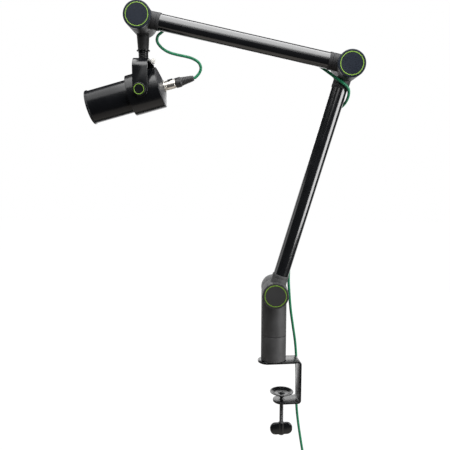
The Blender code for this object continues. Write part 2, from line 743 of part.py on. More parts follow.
def make_connector(mic, looks):
    """The three-pin socket in the rear cover, and the cable connector that is plugged into it."""
    socket = [
        (0, REAR_EDGE - 10),
        (9.5, REAR_EDGE - 10),
        (9.5, REAR_FACE + FIT),
        (11.2, REAR_FACE + FIT),
        (11.2, REAR_FACE + 2),
        (8.1, REAR_FACE + 2),
        (8.1, REAR_EDGE - 7),
        (0, REAR_EDGE - 7),
    ]
    made = place("xlr_socket", turned(socket, ROUND), looks["nickel"], mic)
    for turn in PIN_ANGLES:
        x, y = arc((0, 0), PIN_CIRCLE, turn, turn, 1)[0]
        join(made, cylinder(PIN_RADIUS, REAR_EDGE - 8, REAR_EDGE + 3, 8), (x, y, 0))

    nose_end = REAR_EDGE - 4
    start = REAR_FACE + 2 + FIT
    shell = [
        (0, nose_end),
        (7.7, nose_end),
        (7.7, start),
        (8.9, start),
        (8.9, start + 2.4),
        (SHELL_RADIUS, start + 2.8),
        (SHELL_RADIUS, SHELL_END),
        (0, SHELL_END),
    ]
    made = place("xlr_shell", turned(shell, ROUND), looks["nickel"], mic)
    for turn in PIN_ANGLES:
        x, y = arc((0, 0), PIN_CIRCLE, turn, turn, 1)[0]
        cut(made, cylinder(PIN_RADIUS + FIT, nose_end - 1, REAR_EDGE + 4, 8), (x, y, 0))
    pocket = extruded(rounded_rectangle(10.6, 6.6, 1.2, 3), SHELL_RADIUS - 3.2, SHELL_RADIUS + 4)
    cut(made, pocket, (0, 0, SHELL_END - WINDOW_DROP), (0, -math.pi / 2, 0))
    boot = [
        (0, SHELL_END + FIT),
        (SHELL_RADIUS + 0.5, SHELL_END + FIT),
        (SHELL_RADIUS + 0.5, SHELL_END + 12),
        (SHELL_RADIUS - 1, SHELL_END + 14),
        (5.4, BOOT_END),
        (0, BOOT_END),
    ]
    place("xlr_boot", turned(boot, ROUND), looks["rubber"], mic)


def make_latch(latch, looks):
    """The release button in the connector's shell. It sinks towards the connector's axis."""
    button = extruded(rounded_rectangle(10, 6, 1, 3), -1.4, 1.2)
    place("xlr_latch", button, looks["cap"], latch)


# ---------------------------------------------------------------- cable


def tube_point(pivot, other, distance, y):
    """A point of the cable in an arm's channel, at a distance from one pivot towards the other."""
    way = Vector((other[0] - pivot[0], 0, other[1] - pivot[1])).normalized()
    return Vector((pivot[0], y, pivot[1])) + way * distance


def make_cables(looks):
    cable = looks["green_cable"]
    step = 3 * 2 * CABLE_RADIUS
    upper_y, lower_y = UPPER_Y + CHANNEL_CABLE, LOWER_Y + CHANNEL_CABLE

    mic_way = Vector((math.cos(MIC_PITCH), 0, math.sin(MIC_PITCH)))
    boot_end = Vector((MIC_PIVOT[0], LOWER_Y, MIC_PIVOT[1])) + mic_way * (BOOT_END + FIT)
    mic_route = [
        boot_end,
        boot_end + mic_way * 3,
        Vector((-155.0, -38.3, 587.3)),
        Vector((-150.0, -39, 593.5)),
        Vector((-147.6, -41, 602.0)),
        Vector((-152.0, -43, 611.8)),
        Vector((-163.5, -46, 618.6)),
        Vector((-177.0, -48, 622.2)),
        Vector((-193.5, -50, 625.4)),
        Vector((-209.5, -52, 630.2)),
        Vector((-222.0, -53.5, 638.4)),
        Vector((-229.5, -54, 649.0)),
        Vector((-228.0, -54, 659.5)),
        Vector((-219.0, -54.5, 667.0)),
        tube_point(HEAD_PIVOT, ELBOW_PIVOT, 52, upper_y + 8.4),
        tube_point(HEAD_PIVOT, ELBOW_PIVOT, 64, upper_y + 4.6),
        tube_point(HEAD_PIVOT, ELBOW_PIVOT, 75, upper_y + 0.8),
    ]
    upper_length = math.dist(HEAD_PIVOT, ELBOW_PIVOT)
    for distance in range(90, int(upper_length) - 130, 50):
        mic_route.append(tube_point(HEAD_PIVOT, ELBOW_PIVOT, distance, upper_y))
    upper_end = tube_point(ELBOW_PIVOT, HEAD_PIVOT, 102, upper_y)
    mic_route.append(upper_end)
    wire("cable_upper", smooth_route(mic_route, step), CABLE_RADIUS, cable)

    way = (upper_end - mic_route[-2]).normalized()
    lower_length = math.dist(BASE_PIVOT, ELBOW_PIVOT)
    elbow_route = [
        upper_end + way * FIT,
        tube_point(ELBOW_PIVOT, HEAD_PIVOT, 92, upper_y),
        tube_point(ELBOW_PIVOT, HEAD_PIVOT, 82, upper_y + 2.4),
        tube_point(ELBOW_PIVOT, HEAD_PIVOT, 71, upper_y + 7.0),
        Vector((75.0, -56.6, 603.8)),
        Vector((86.8, -57.8, 595.4)),
        Vector((98.6, -59.2, 586.6)),
        Vector((110.6, -59.5, 577.8)),
        Vector((122.8, -59.2, 569.4)),
        Vector((132.0, -56, 561.8)),
        Vector((135.6, -48, 552.0)),
        Vector((134.6, -36, 541.2)),
        Vector((129.8, -24.5, 532.0)),
        Vector((118.5, -17.2, 522.5)),
        tube_point(ELBOW_PIVOT, BASE_PIVOT, 93, lower_y + 8.2),
        tube_point(ELBOW_PIVOT, BASE_PIVOT, 107, lower_y + 4.6),
        tube_point(ELBOW_PIVOT, BASE_PIVOT, 119, lower_y + 1.0),
        tube_point(ELBOW_PIVOT, BASE_PIVOT, 130, lower_y),
    ]
    for distance in range(160, int(lower_length) - 130, 60):
        elbow_route.append(tube_point(ELBOW_PIVOT, BASE_PIVOT, distance, lower_y))
    lower_end = tube_point(BASE_PIVOT, ELBOW_PIVOT, 122, lower_y)
    elbow_route.append(lower_end)
    wire("cable_lower", smooth_route(elbow_route, step), CABLE_RADIUS, cable)

    way = (lower_end - elbow_route[-2]).normalized()
    base_route = [
        lower_end + way * FIT,
        tube_point(BASE_PIVOT, ELBOW_PIVOT, 112, lower_y),
        tube_point(BASE_PIVOT, ELBOW_PIVOT, 101, lower_y + 2.2),
        tube_point(BASE_PIVOT, ELBOW_PIVOT, 90, lower_y + 6.4),
        Vector((26.8, -18.4, 231.0)),
        Vector((29.3, -17.6, 211.0)),
        Vector((28.6, -15.5, 184.0)),
        Vector((31.0, -9.0, 152.0)),
        Vector((35.6, 4.0, 111.0)),
        Vector((41.6, 16.0, 74.0)),
        Vector((47.6, 27.0, 37.0)),
        Vector((51.0, 33.0, 3.0)),
        Vector((52.6, 35.0, -35.0)),
        Vector((53.2, 35.5, -75.0)),
        Vector((54.0, 35.5, -114.0)),
        Vector((58.8, 35.5, -157.0)),
        Vector((67.2, 35.5, -210.0)),
        Vector((72.0, 35.5, -236.0)),
    ]
    wire("cable_hang", smooth_route(base_route, 1.3 * step), CABLE_RADIUS, cable)
    make_hank(base_route[-1], looks)


def make_hank(top, looks):
    """The rest of the lead, wound into a hank below the clamp, and the plug that hangs from it."""
    middle = top + Vector((0, HANK_FRONT_TURN, -HANK_LENGTH / 2 - FIT))
    outline = rounded_rectangle(2 * HANK_RADIUS, HANK_LENGTH, HANK_RADIUS - 1, 6)
    hank = extruded(outline, -HANK_DEPTH / 2, HANK_DEPTH / 2)
    place("cable_hank", hank, looks["green_cable"], None, middle, FACING_REAR)
    plug = [
        (0, -66),
        (7.9, -66),
        (7.9, -52),
        (SHELL_RADIUS, -51),
        (SHELL_RADIUS, -26),
        (SHELL_RADIUS - 1, -24),
        (4.2, 0),
        (0, 0),
    ]
    at = top - Vector((HANK_TAIL, 0, HANK_LENGTH + 2 * FIT))
    place("xlr_plug", turned(plug, SMALL), looks["nickel"], None, at)


def main():
    clear_scene()
    looks = {
        "satin_black": material("satin_black", (0.018, 0.019, 0.022), 0.35, 0.2),
        "powder_coat": material("powder_coat", (0.035, 0.036, 0.038), 0.6),
        "black_steel": material("black_steel", (0.016, 0.016, 0.018), 0.42, 0.4),
        "grey_satin": material("grey_satin", (0.06, 0.06, 0.065), 0.4),
        "cap": material("cap", (0.012, 0.014, 0.022), 0.35),
        "green_ring": material("green_ring", (0.25, 0.50, 0.05), 0.4),
        "green_cable": material("green_cable", (0.01, 0.22, 0.09), 0.45),
        "steel": material("steel", (0.5, 0.5, 0.52), 0.3, 1.0),
        "nickel": material("nickel", (0.62, 0.6, 0.56), 0.25, 1.0),
        "brass": material("brass", (0.7, 0.5, 0.2), 0.3, 1.0),
        "rubber": material("rubber", (0.012, 0.012, 0.013), 0.7),
        "foam": material("foam", (0.02, 0.02, 0.02), 0.95),
        "nylon": material("nylon", (0.75, 0.75, 0.72), 0.5),
        "board": material("board", (0.01, 0.12, 0.04), 0.5),
    }

    lower_way = (ELBOW_PIVOT[0] - BASE_PIVOT[0], ELBOW_PIVOT[1] - BASE_PIVOT[1])
    upper_way = (HEAD_PIVOT[0] - ELBOW_PIVOT[0], HEAD_PIVOT[1] - ELBOW_PIVOT[1])

    clamp = frame("clamp", turn=(0, 0, CLAMP_YAW))
    clamp_screw = frame("clamp_screw_axis", (SCREW_X, 0, 0), parent=clamp)
    post = frame("post_axis")
    lower_arm = frame("base_axis", (BASE_PIVOT[0], 0, BASE_PIVOT[1]), (0, math.atan2(*lower_way), 0))
    upper_arm = frame("elbow_axis", (ELBOW_PIVOT[0], 0, ELBOW_PIVOT[1]), (0, math.atan2(*upper_way), 0))
    head = frame("head_axis", (HEAD_PIVOT[0], 0, HEAD_PIVOT[1]))
    yoke = frame("yoke_axis", (HEAD_PIVOT[0], 0, HEAD_PIVOT[1]))
    mic_turn = (0, math.pi / 2 - MIC_PITCH, 0)
    mic = frame("mic_axis", (MIC_PIVOT[0], LOWER_Y, MIC_PIVOT[1]), mic_turn)
    front_knob = frame("front_knob_axis", (MIC_PIVOT[0], LOWER_Y, MIC_PIVOT[1]))
    rear_knob = frame("rear_knob_axis", (MIC_PIVOT[0], LOWER_Y, MIC_PIVOT[1]))
    latch = frame("latch_axis", (-SHELL_RADIUS, 0, SHELL_END - WINDOW_DROP), (0, -math.pi / 2, 0), mic)

    make_clamp(clamp, clamp_screw, looks)
    make_post(clamp, post, looks)
    make_lower_arm(lower_arm, math.hypot(*lower_way), looks)
    make_upper_arm(upper_arm, math.hypot(*upper_way), looks)
    make_neck(head, looks)
    make_yoke(yoke, looks)
    make_knobs(front_knob, rear_knob, looks)
    make_microphone(mic, looks)
    make_latch(latch, looks)
    make_cables(looks)


main()
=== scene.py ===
"""Looks of a broadcast microphone on a two-section desk boom arm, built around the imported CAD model.

Lengths are in millimetres, in the same frames as the CAD parts, and become metres in mesh_object().
"""

import json
import math

import bmesh
import bpy
from mathutils import Matrix, Vector


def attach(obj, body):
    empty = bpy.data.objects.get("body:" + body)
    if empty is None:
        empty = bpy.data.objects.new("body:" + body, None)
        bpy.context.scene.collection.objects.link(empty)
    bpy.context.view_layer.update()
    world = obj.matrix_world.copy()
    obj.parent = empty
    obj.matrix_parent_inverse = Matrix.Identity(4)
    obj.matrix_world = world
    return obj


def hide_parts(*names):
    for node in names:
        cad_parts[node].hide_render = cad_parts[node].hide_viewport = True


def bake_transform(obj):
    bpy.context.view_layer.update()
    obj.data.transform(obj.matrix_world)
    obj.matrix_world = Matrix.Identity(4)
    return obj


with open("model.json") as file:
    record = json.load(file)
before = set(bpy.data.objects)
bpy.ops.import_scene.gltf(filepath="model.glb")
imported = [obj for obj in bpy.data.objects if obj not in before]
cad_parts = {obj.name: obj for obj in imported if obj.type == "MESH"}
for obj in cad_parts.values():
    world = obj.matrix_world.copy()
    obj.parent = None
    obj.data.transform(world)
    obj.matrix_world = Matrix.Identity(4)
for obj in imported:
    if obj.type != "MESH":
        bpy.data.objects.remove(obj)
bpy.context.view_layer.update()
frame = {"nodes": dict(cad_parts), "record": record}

MM = 0.001
FIT = 0.3
ROUND, SMALL = 96, 48  # sides of a large round piece and of a small one

# Where the joints are, as (x, z)
BASE_PIVOT = (0.0, 158.0)
ELBOW_PIVOT = (130.6, 599.4)
HEAD_PIVOT = (-259.0, 688.4)
MIC_PIVOT = (-258.8, 556.6)
MIC_PITCH = math.radians(15.26)
CLAMP_YAW = math.radians(8.0)
LOWER_Y, UPPER_Y = -38.0, -76.0
HOUSING_HALF, JOINT_GAP, CAP_DEPTH = 19.0, 0.5, 7.0

# Joints and tubes
BASE_RADIUS, JOINT_RADIUS = 26.2, 25.4
COLLAR_RADIUS, COLLAR_END = 16.5, 40.0
TUBE_RADIUS, TUBE_WALL, TUBE_INSET = 15.2, 1.8, 24.8
CHANNEL_HALF, CHANNEL_FLOOR, CHANNEL_WALL = 3.6, 8.4, 1.6
RING_MIDDLE, RING_HALF = 0.81, 0.75  # the middle as a share of the cap's radius, and half the width
BOLT_HOLE, BOLT_RECESS, STUD_HOLE, YOKE_BOLT_HOLE = 5.3, 9.0, 4.3, 5.2

# Post and clamp
POST_RADIUS, SOCKET_TOP = 26.4, 60.0
BUSH_HOLE, SPIGOT_HOLE, NUT_HOLE, NUT_RADIUS = 12.3, 9.3, 7.1, 8.5
STRAP_WIDTH, STRAP_THICKNESS = 40.0, 4.0
DESK_PAD, STRAP_UNDER = 1.0, 1.3
STRAP_OUTER_X, STRAP_LEFT_X = 57.0, -33.0
FOOT_LEFT_X, FOOT_TOP = 0.5, -84.0
SCREW_X, SCREW_RADIUS = 18.8, 4.2
PAD_TOP, PAD_RADIUS = -66.0, 24.8
HANDLE_LOW, HANDLE_HIGH, HANDLE_WIDTH = -163.0, -137.0, 48.0

# Neck and yoke
NECK_TOP_RADIUS, NECK_LOW_RADIUS, NECK_LOW = 12.6, 10.3, -52.0
FLANGE_RADIUS, ADAPTER_RADIUS = 12.8, 9.6
YOKE_TOP, YOKE_HALF, YOKE_WIDTH = 617.0, 46.0, 28.6
YOKE_THICKNESS, YOKE_CORNER = 4.0, 19.0
KNOB_RADIUS, KNOB_DEPTH, KNOB_RING_MIDDLE, KNOB_STEM = 12.4, 9.6, 0.74, 3.9

# Microphone, along its own axis from the yoke's pivot
MIC_FRONT, SHOULDER, REAR_EDGE, REAR_FACE = -110.6, -26.6, 34.2, 41.0
LIP_RADIUS, BARREL_RADIUS, BODY_RADIUS = 33.7, 32.2, 39.5
BARREL_WALL, BODY_WALL = 2, 2.5
SHELL_RADIUS, SHELL_END, BOOT_END, PIN_CIRCLE = 9.2, 64.0, 100.6, 4.0

# Cable
CABLE_RADIUS, ROUTE_STEP = 2.75, 4
CHANNEL_CABLE = 11.9  # from a tube's axis to the cable in its channel
HANK_RADIUS, HANK_LENGTH = 25.0, 104.0
HANK_FRONT_TURN, HANK_TAIL = 8.25, 22.0
MIC_SHARE, YOKE_SHARE = 0.42, 0.7  # where the first two stretches end, as shares of the free loop
LAST_TILTING, LAST_TURNING = 7, 11  # the base route's points, counted from its start, along which the first stretch and the second are measured
ABOVE_STRAP = 22.0  # from the last of those points to the second stretch's end, just above the strap


def shift(x=0.0, y=0.0, z=0.0):
    return Matrix.Translation((x, y, z))


def spin_about(axis, angle):
    return Matrix.Rotation(angle, 4, axis)


FACING_REAR = spin_about("X", -math.pi / 2)  # local +Z becomes +Y
FACING_FRONT = spin_about("X", math.pi / 2)  # local +Z becomes -Y
SIDEWAYS = spin_about("Y", math.pi / 2)  # local +Z becomes +X

LOWER_WAY = (ELBOW_PIVOT[0] - BASE_PIVOT[0], ELBOW_PIVOT[1] - BASE_PIVOT[1])
UPPER_WAY = (HEAD_PIVOT[0] - ELBOW_PIVOT[0], HEAD_PIVOT[1] - ELBOW_PIVOT[1])
LOWER_LENGTH, UPPER_LENGTH = math.hypot(*LOWER_WAY), math.hypot(*UPPER_WAY)

CLAMP = spin_about("Z", CLAMP_YAW)
SCREW = CLAMP @ shift(SCREW_X)
POST = Matrix()
LOWER = shift(BASE_PIVOT[0], 0, BASE_PIVOT[1]) @ spin_about("Y", math.atan2(*LOWER_WAY))
UPPER = shift(ELBOW_PIVOT[0], 0, ELBOW_PIVOT[1]) @ spin_about("Y", math.atan2(*UPPER_WAY))
HEAD = shift(HEAD_PIVOT[0], 0, HEAD_PIVOT[1])
PIVOT = shift(MIC_PIVOT[0], LOWER_Y, MIC_PIVOT[1])
MIC = PIVOT @ spin_about("Y", math.pi / 2 - MIC_PITCH)
LATCH = MIC @ shift(-SHELL_RADIUS, 0, SHELL_END - 9) @ spin_about("Y", -math.pi / 2)


# ---------- materials


def linked(tree, kind, **sockets):
    """A new node, with its sockets set to values or fed by other nodes' outputs."""
    node = tree.nodes.new(kind)
    for name, value in sockets.items():
        if hasattr(node, name) and name not in node.inputs:
            setattr(node, name, value)
            continue
        socket = node.inputs[name.replace("_", " ")]
        if isinstance(value, bpy.types.NodeSocket):
            tree.links.new(value, socket)
        else:
            socket.default_value = value
    return node


def noise(tree, where, scale, detail=2.0, rough=0.5):
    node = linked(tree, "ShaderNodeTexNoise", Vector=where, Scale=scale, Detail=detail, Roughness=rough)
    return node.outputs["Fac"]


def spread(tree, value, low, high, start=0.35, end=0.65):
    node = tree.nodes.new("ShaderNodeMapRange")
    tree.links.new(value, node.inputs["Value"])
    for name, number in (("From Min", start), ("From Max", end), ("To Min", low), ("To Max", high)):
        node.inputs[name].default_value = number
    return node.outputs["Result"]


def two_tone(tree, value, first, second):
    node = tree.nodes.new("ShaderNodeMix")
    node.data_type = "RGBA"
    tree.links.new(value, node.inputs["Factor"])
    node.inputs["A"].default_value = (*first, 1)
    node.inputs["B"].default_value = (*second, 1)
    return node.outputs["Result"]


def surface(name, dark, light, rough, grain, bump, stretch=(1, 1, 1), patch=35.0, **fixed):
    """A material whose colour goes from dark to light and whose roughness varies over its patches.

    rough is its lowest and highest roughness, grain the scale of its fine texture per metre, and bump
    that texture's height in metres. stretch pulls the grain out along an axis.
    """
    made = bpy.data.materials.new(name)
    made.use_nodes = True
    tree = made.node_tree
    shader = tree.nodes["Principled BSDF"]
    place = tree.nodes.new("ShaderNodeTexCoord").outputs["Object"]
    pulled = linked(tree, "ShaderNodeMapping", Vector=place, Scale=stretch).outputs["Vector"]
    broad = noise(tree, place, patch, 3.0)
    fine = noise(tree, pulled, grain, 3.0, 0.6)
    mixed = linked(tree, "ShaderNodeMath", operation="MULTIPLY_ADD")
    tree.links.new(fine, mixed.inputs[0])
    mixed.inputs[1].default_value = 0.5
    tree.links.new(spread(tree, broad, 0.0, 0.5), mixed.inputs[2])
    tree.links.new(two_tone(tree, mixed.outputs[0], dark, light), shader.inputs["Base Color"])
    tree.links.new(spread(tree, broad, *rough), shader.inputs["Roughness"])
    raised = tree.nodes.new("ShaderNodeBump")
    raised.inputs["Strength"].default_value = 1.0
    raised.inputs["Distance"].default_value = bump
    tree.links.new(fine, raised.inputs["Height"])
    tree.links.new(raised.outputs["Normal"], shader.inputs["Normal"])
    for socket, value in fixed.items():
        shader.inputs[socket.replace("_", " ")].default_value = value
    return made


BLACK, SOFT_BLACK = (0.0022, 0.0024, 0.003), (0.0034, 0.0037, 0.0045)
LOOKS = {
    "tube": surface("tube_paint", BLACK, SOFT_BLACK, (0.16, 0.19), 900, 3e-7, IOR=1.6),
    "satin_black": surface("satin_black_paint", BLACK, SOFT_BLACK, (0.22, 0.27), 1500, 1e-6, IOR=1.29),
    "body": surface("body_paint", BLACK, SOFT_BLACK, (0.22, 0.27), 1500, 1e-6, IOR=1.38),
    "yoke": surface("yoke_paint", BLACK, SOFT_BLACK, (0.17, 0.21), 1500, 2e-6, IOR=1.42),
    "powder_coat": surface(
        "powder_coat_paint", (0.022, 0.022, 0.0225), (0.042, 0.042, 0.043), (0.5, 0.58), 1300, 3e-5,
        IOR=1.36,
    ),
    # housing: the post's powder coat with a darker colour, painted shade on the joint housings, which
    # are the same powder coat
    "housing": surface(
        "powder_coat_painted_shade", (0.013, 0.013, 0.0135), (0.024, 0.024, 0.025), (0.46, 0.54), 1300, 2e-5,
        IOR=1.2,
    ),
    "black_steel": surface("black_steel_paint", BLACK, SOFT_BLACK, (0.24, 0.3), 1100, 6e-7, IOR=1.5),
    "grey_satin": surface(
        "grey_satin_paint", (0.02, 0.02, 0.0215), (0.028, 0.028, 0.03), (0.3, 0.36), 1500, 3e-6,
        IOR=1.35,
    ),
    "cap": surface(
        "cap_plastic", (0.006, 0.008, 0.012), (0.009, 0.0115, 0.017), (0.3, 0.36), 1800, 2e-6, IOR=1.22
    ),
    # base_cap: the caps' plastic drawn lighter and neutral grey, painted light on the base's front cap,
    # which is the same plastic as the other caps
    "base_cap": surface(
        "cap_plastic_painted_light", (0.02, 0.02, 0.02), (0.027, 0.027, 0.027), (0.34, 0.4), 1800, 2e-6, IOR=1.25
    ),
    "green_ring": surface(
        "ring_plastic", (0.085, 0.165, 0.01), (0.105, 0.2, 0.013), (0.35, 0.42), 1200, 2e-6
    ),
    "green_cable": surface(
        "cable_jacket", (0.008, 0.11, 0.05), (0.012, 0.145, 0.068), (0.38, 0.45), 1400, 4e-6, IOR=1.35
    ),
    "steel": surface(
        "machined_steel", (0.46, 0.46, 0.48), (0.6, 0.6, 0.62), (0.3, 0.38), 1500, 2e-6, Metallic=1.0
    ),
    "nickel": surface(
        "satin_nickel", (0.5, 0.48, 0.45), (0.64, 0.62, 0.58), (0.24, 0.3), 1500, 2e-6, Metallic=1.0
    ),
    "brass": surface(
        "brass", (0.6, 0.42, 0.15), (0.74, 0.54, 0.24), (0.28, 0.36), 900, 2e-6, Metallic=1.0
    ),
    "rubber": surface(
        "black_rubber", (0.007, 0.007, 0.0075), (0.012, 0.012, 0.013), (0.5, 0.6), 1600, 8e-6
    ),
    "foam": surface("open_foam", (0.004, 0.004, 0.0045), (0.02, 0.02, 0.021), (0.9, 1.0), 1500, 4e-4),
    "nylon": surface("natural_nylon", (0.5, 0.49, 0.46), (0.6, 0.59, 0.56), (0.42, 0.5), 700, 4e-6),
    "board": surface("solder_mask", (0.006, 0.09, 0.03), (0.012, 0.15, 0.05), (0.3, 0.45), 500, 4e-6),
    "tie": surface(
        "woven_tie", (0.004, 0.004, 0.0045), (0.015, 0.015, 0.016), (0.8, 0.9), 2200, 1e-4, (1, 3, 1)
    ),
}


# ---------- shapes


def arc(centre, radius, start, end, steps):
    angles = [math.radians(start + (end - start) * i / steps) for i in range(steps + 1)]
    return [(centre[0] + radius * math.cos(a), centre[1] + radius * math.sin(a)) for a in angles]


def softened(outline, radius, steps=4):
    """A closed outline of 2-D points with rounded corners, except on the axis, where x is 0."""
    points = [Vector(point) for point in outline]
    made = []
    for i, corner in enumerate(points):
        before, after = points[i - 1], points[(i + 1) % len(points)]
        near, far = (before - corner).length, (after - corner).length
        size = min(radius, 0.45 * near, 0.45 * far)
        if corner.x < 1e-6 or size < 1e-3:
            made.append(tuple(corner))
            continue
        first = corner + (before - corner) * size / near
        last = corner + (after - corner) * size / far
        for j in range(steps + 1):
            t = j / steps
            made.append(tuple(first * (1 - t) ** 2 + corner * 2 * t * (1 - t) + last * t * t))
    return made


def turned(outline, sides=ROUND):
    """A closed outline of (radius, height) points, turned about Z."""
    shape = bmesh.new()
    angles = [math.tau * i / sides for i in range(sides)]
    rings = []
    for radius, height in outline:
        if radius < 1e-6:
            rings.append([shape.verts.new((0, 0, height))] * sides)
            continue
        points = [(radius * math.cos(a), radius * math.sin(a), height) for a in angles]
        rings.append([shape.verts.new(point) for point in points])
    for first, second in zip(rings, rings[1:] + rings[:1]):
        for i in range(sides):
            j = (i + 1) % sides
            corners = []
            for vert in (first[i], first[j], second[j], second[i]):
                if vert not in corners:
                    corners.append(vert)
            if len(corners) > 2:
                shape.faces.new(corners)
    return shape


def disc(radius, low, high, soft=0.0, sides=ROUND):
    outline = [(0, low), (radius, low), (radius, high), (0, high)]
    return turned(softened(outline, soft) if soft else outline, sides)


def sleeve(inner, outer, low, high, soft=0.0, sides=ROUND):
    outline = [(inner, low), (outer, low), (outer, high), (inner, high)]
    return turned(softened(outline, soft) if soft else outline, sides)


def thickened(shape, faces, height):
    """Gives flat faces a thickness upwards, and keeps them as the underside."""
    top = bmesh.ops.extrude_face_region(shape, geom=faces, use_keep_orig=True)["geom"]
    lifted = [part for part in top if isinstance(part, bmesh.types.BMVert)]
    bmesh.ops.translate(shape, vec=(0, 0, height), verts=lifted)
    return shape


def extruded(outline, low, high):
    shape = bmesh.new()
    bottom = shape.faces.new([shape.verts.new((x, y, low)) for x, y in outline])
    return thickened(shape, [bottom], high - low)


def rounded_rectangle(width, height, radius, steps=8):
    x, y = width / 2 - radius, height / 2 - radius
    corners = ((x, y, 0), (-x, y, 90), (-x, -y, 180), (x, -y, 270))
    sides = [arc((cx, cy), radius, start, start + 90, steps) for cx, cy, start in corners]
    return [point for side in sides for point in side]


def hollow_bar(outer, inner, low, high):
    """A bar between two outlines that have the same number of points."""
    shape = bmesh.new()
    places = [(z, outline) for z in (low, high) for outline in (outer, inner)]
    loops = [[shape.verts.new((x, y, z)) for x, y in outline] for z, outline in places]
    for first, second in ((0, 1), (1, 3), (3, 2), (2, 0)):
        for i in range(len(outer)):
            j = (i + 1) % len(outer)
            shape.faces.new((loops[first][i], loops[first][j], loops[second][j], loops[second][i]))
    return shape


def skinned(shape, rings):
    """A row of equal rings of points, closed into a solid with flat ends."""
    for first, second in zip(rings, rings[1:]):
        for i in range(len(first)):
            j = (i + 1) % len(first)
            shape.faces.new((first[i], first[j], second[j], second[i]))
    shape.faces.new(rings[0][::-1])
    shape.faces.new(rings[-1])
    return shape


def threaded(radius, depth, low, high, pitch, sides=40, steps=8):
    """A rod with a thread, whose ends run out smooth."""
    shape = bmesh.new()
    rows = round((high - low) / pitch * steps)
    rings = []
    for i in range(rows + 1):
        z = low + (high - low) * i / rows
        run_out = min(1.0, (z - low) / pitch, (high - z) / pitch)
        ring = []
        for j in range(sides):
            crest = abs(2 * ((z / pitch - j / sides) % 1.0) - 1)
            flank = min(1.0, max(0.0, 1.3 * crest - 0.1))
            r = radius - depth * (1 - flank * run_out)
            a = math.tau * j / sides
            ring.append(shape.verts.new((r * math.cos(a), r * math.sin(a), z)))
        rings.append(ring)
    return skinned(shape, rings)


def smooth_route(points, spacing):
    """Points about spacing apart on a smooth curve through the given ones."""
    knots = [Vector(point) for point in points]
    knots = [2 * knots[0] - knots[1], *knots, 2 * knots[-1] - knots[-2]]
    route = [knots[1]]
    for before, start, end, after in zip(knots, knots[1:], knots[2:], knots[3:]):
        steps = max(1, round((end - start).length / spacing))
        for i in range(1, steps + 1):
            t = i / steps
            route.append(
                0.5
                * (
                    2 * start
                    + (end - before) * t
                    + (2 * before - 5 * start + 4 * end - after) * t**2
                    + (3 * start - before - 3 * end + after) * t**3
                )
            )
    return route


def tube_along(route, radius, sides=18):
    """A round tube along a route, with flat ends, whose rings don't twist."""
    shape = bmesh.new()
    rings = []
    ways = [(b - a).normalized() for a, b in zip(route, route[1:])]
    ways = [ways[0], *[(a + b).normalized() for a, b in zip(ways, ways[1:])], ways[-1]]
    side = ways[0].orthogonal().normalized()
    angles = [math.tau * i / sides for i in range(sides)]
    for point, way in zip(route, ways):
        side = (side - way * side.dot(way)).normalized()
        across = way.cross(side)
        spokes = [side * math.cos(a) + across * math.sin(a) for a in angles]
        rings.append([shape.verts.new(point + spoke * radius) for spoke in spokes])
    return skinned(shape, rings)


# ---------- pieces


def placed(name, data):
    made = bpy.data.objects.new(name, data)
    bpy.context.scene.collection.objects.link(made)
    return made


def mesh_object(name, shape, where):
    bmesh.ops.recalc_face_normals(shape, faces=shape.faces)
    shape.transform(Matrix.Scale(MM, 4) @ where)
    mesh = bpy.data.meshes.new(name)
    shape.to_mesh(mesh)
    shape.free()
    return placed(name, mesh)


def joined(shape, at=None):
    return "UNION", shape, at or Matrix()


def removed(shape, at=None):
    return "DIFFERENCE", shape, at or Matrix()


def drilled(radius, low, high, at=None):
    return removed(disc(radius, low, high, sides=SMALL), at)


def piece(name, shape, where, body, slot, stands_for=(), look=None, bevel=0.0, steps=(), sharp=32):
    """A visible piece that rides on a body. Its steps join or remove shapes in its own frame."""
    made = mesh_object(name, shape, where)
    helpers = []
    if bevel:
        modifier = made.modifiers.new("bevel", "BEVEL")
        modifier.width, modifier.segments, modifier.limit_method = bevel * MM, 3, "ANGLE"
        modifier.angle_limit = math.radians(40)
    for operation, other, place in steps:
        helpers.append(mesh_object(f"{name}_helper", other, where @ place))
        modifier = made.modifiers.new(operation, "BOOLEAN")
        modifier.object, modifier.operation, modifier.solver = helpers[-1], operation, "EXACT"
    if made.modifiers:
        graph = bpy.context.evaluated_depsgraph_get()
        final = bpy.data.meshes.new_from_object(made.evaluated_get(graph))
        made.modifiers.clear()
        made.data = final
    for helper in helpers:
        bpy.data.objects.remove(helper)
    made.data.shade_smooth()
    made.data.set_sharp_from_angle(angle=math.radians(sharp))
    made.data.materials.clear()
    made.data.materials.append(LOOKS[look or slot])
    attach(made, body)
    if stands_for:
        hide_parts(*stands_for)
    return made


# ---------- camera, lights and stage


def make_camera():
    camera = placed("camera", bpy.data.cameras.new("camera"))
    camera.location = (-0.0599, -1.147, 0.4348)
    camera.rotation_euler = Vector((-0.0369, 0.9916, -0.1237)).to_track_quat("-Z", "Y").to_euler()
    camera.data.lens, camera.data.sensor_width = 44.8, 36.0
    camera.data.clip_start, camera.data.clip_end = 0.01, 50.0
    bpy.context.scene.camera = camera


def panel(name, centre, target, width, height, radiance, colour=(1, 1, 1)):
    """A soft box of a given brightness that faces a target."""
    light = bpy.data.lights.new(name, "AREA")
    light.shape, light.size, light.size_y = "RECTANGLE", width, height
    light.energy, light.color = radiance * math.pi * width * height, colour
    made = placed(name, light)
    made.location = centre
    made.rotation_euler = (Vector(target) - Vector(centre)).to_track_quat("-Z", "Y").to_euler()
    made.visible_camera = False


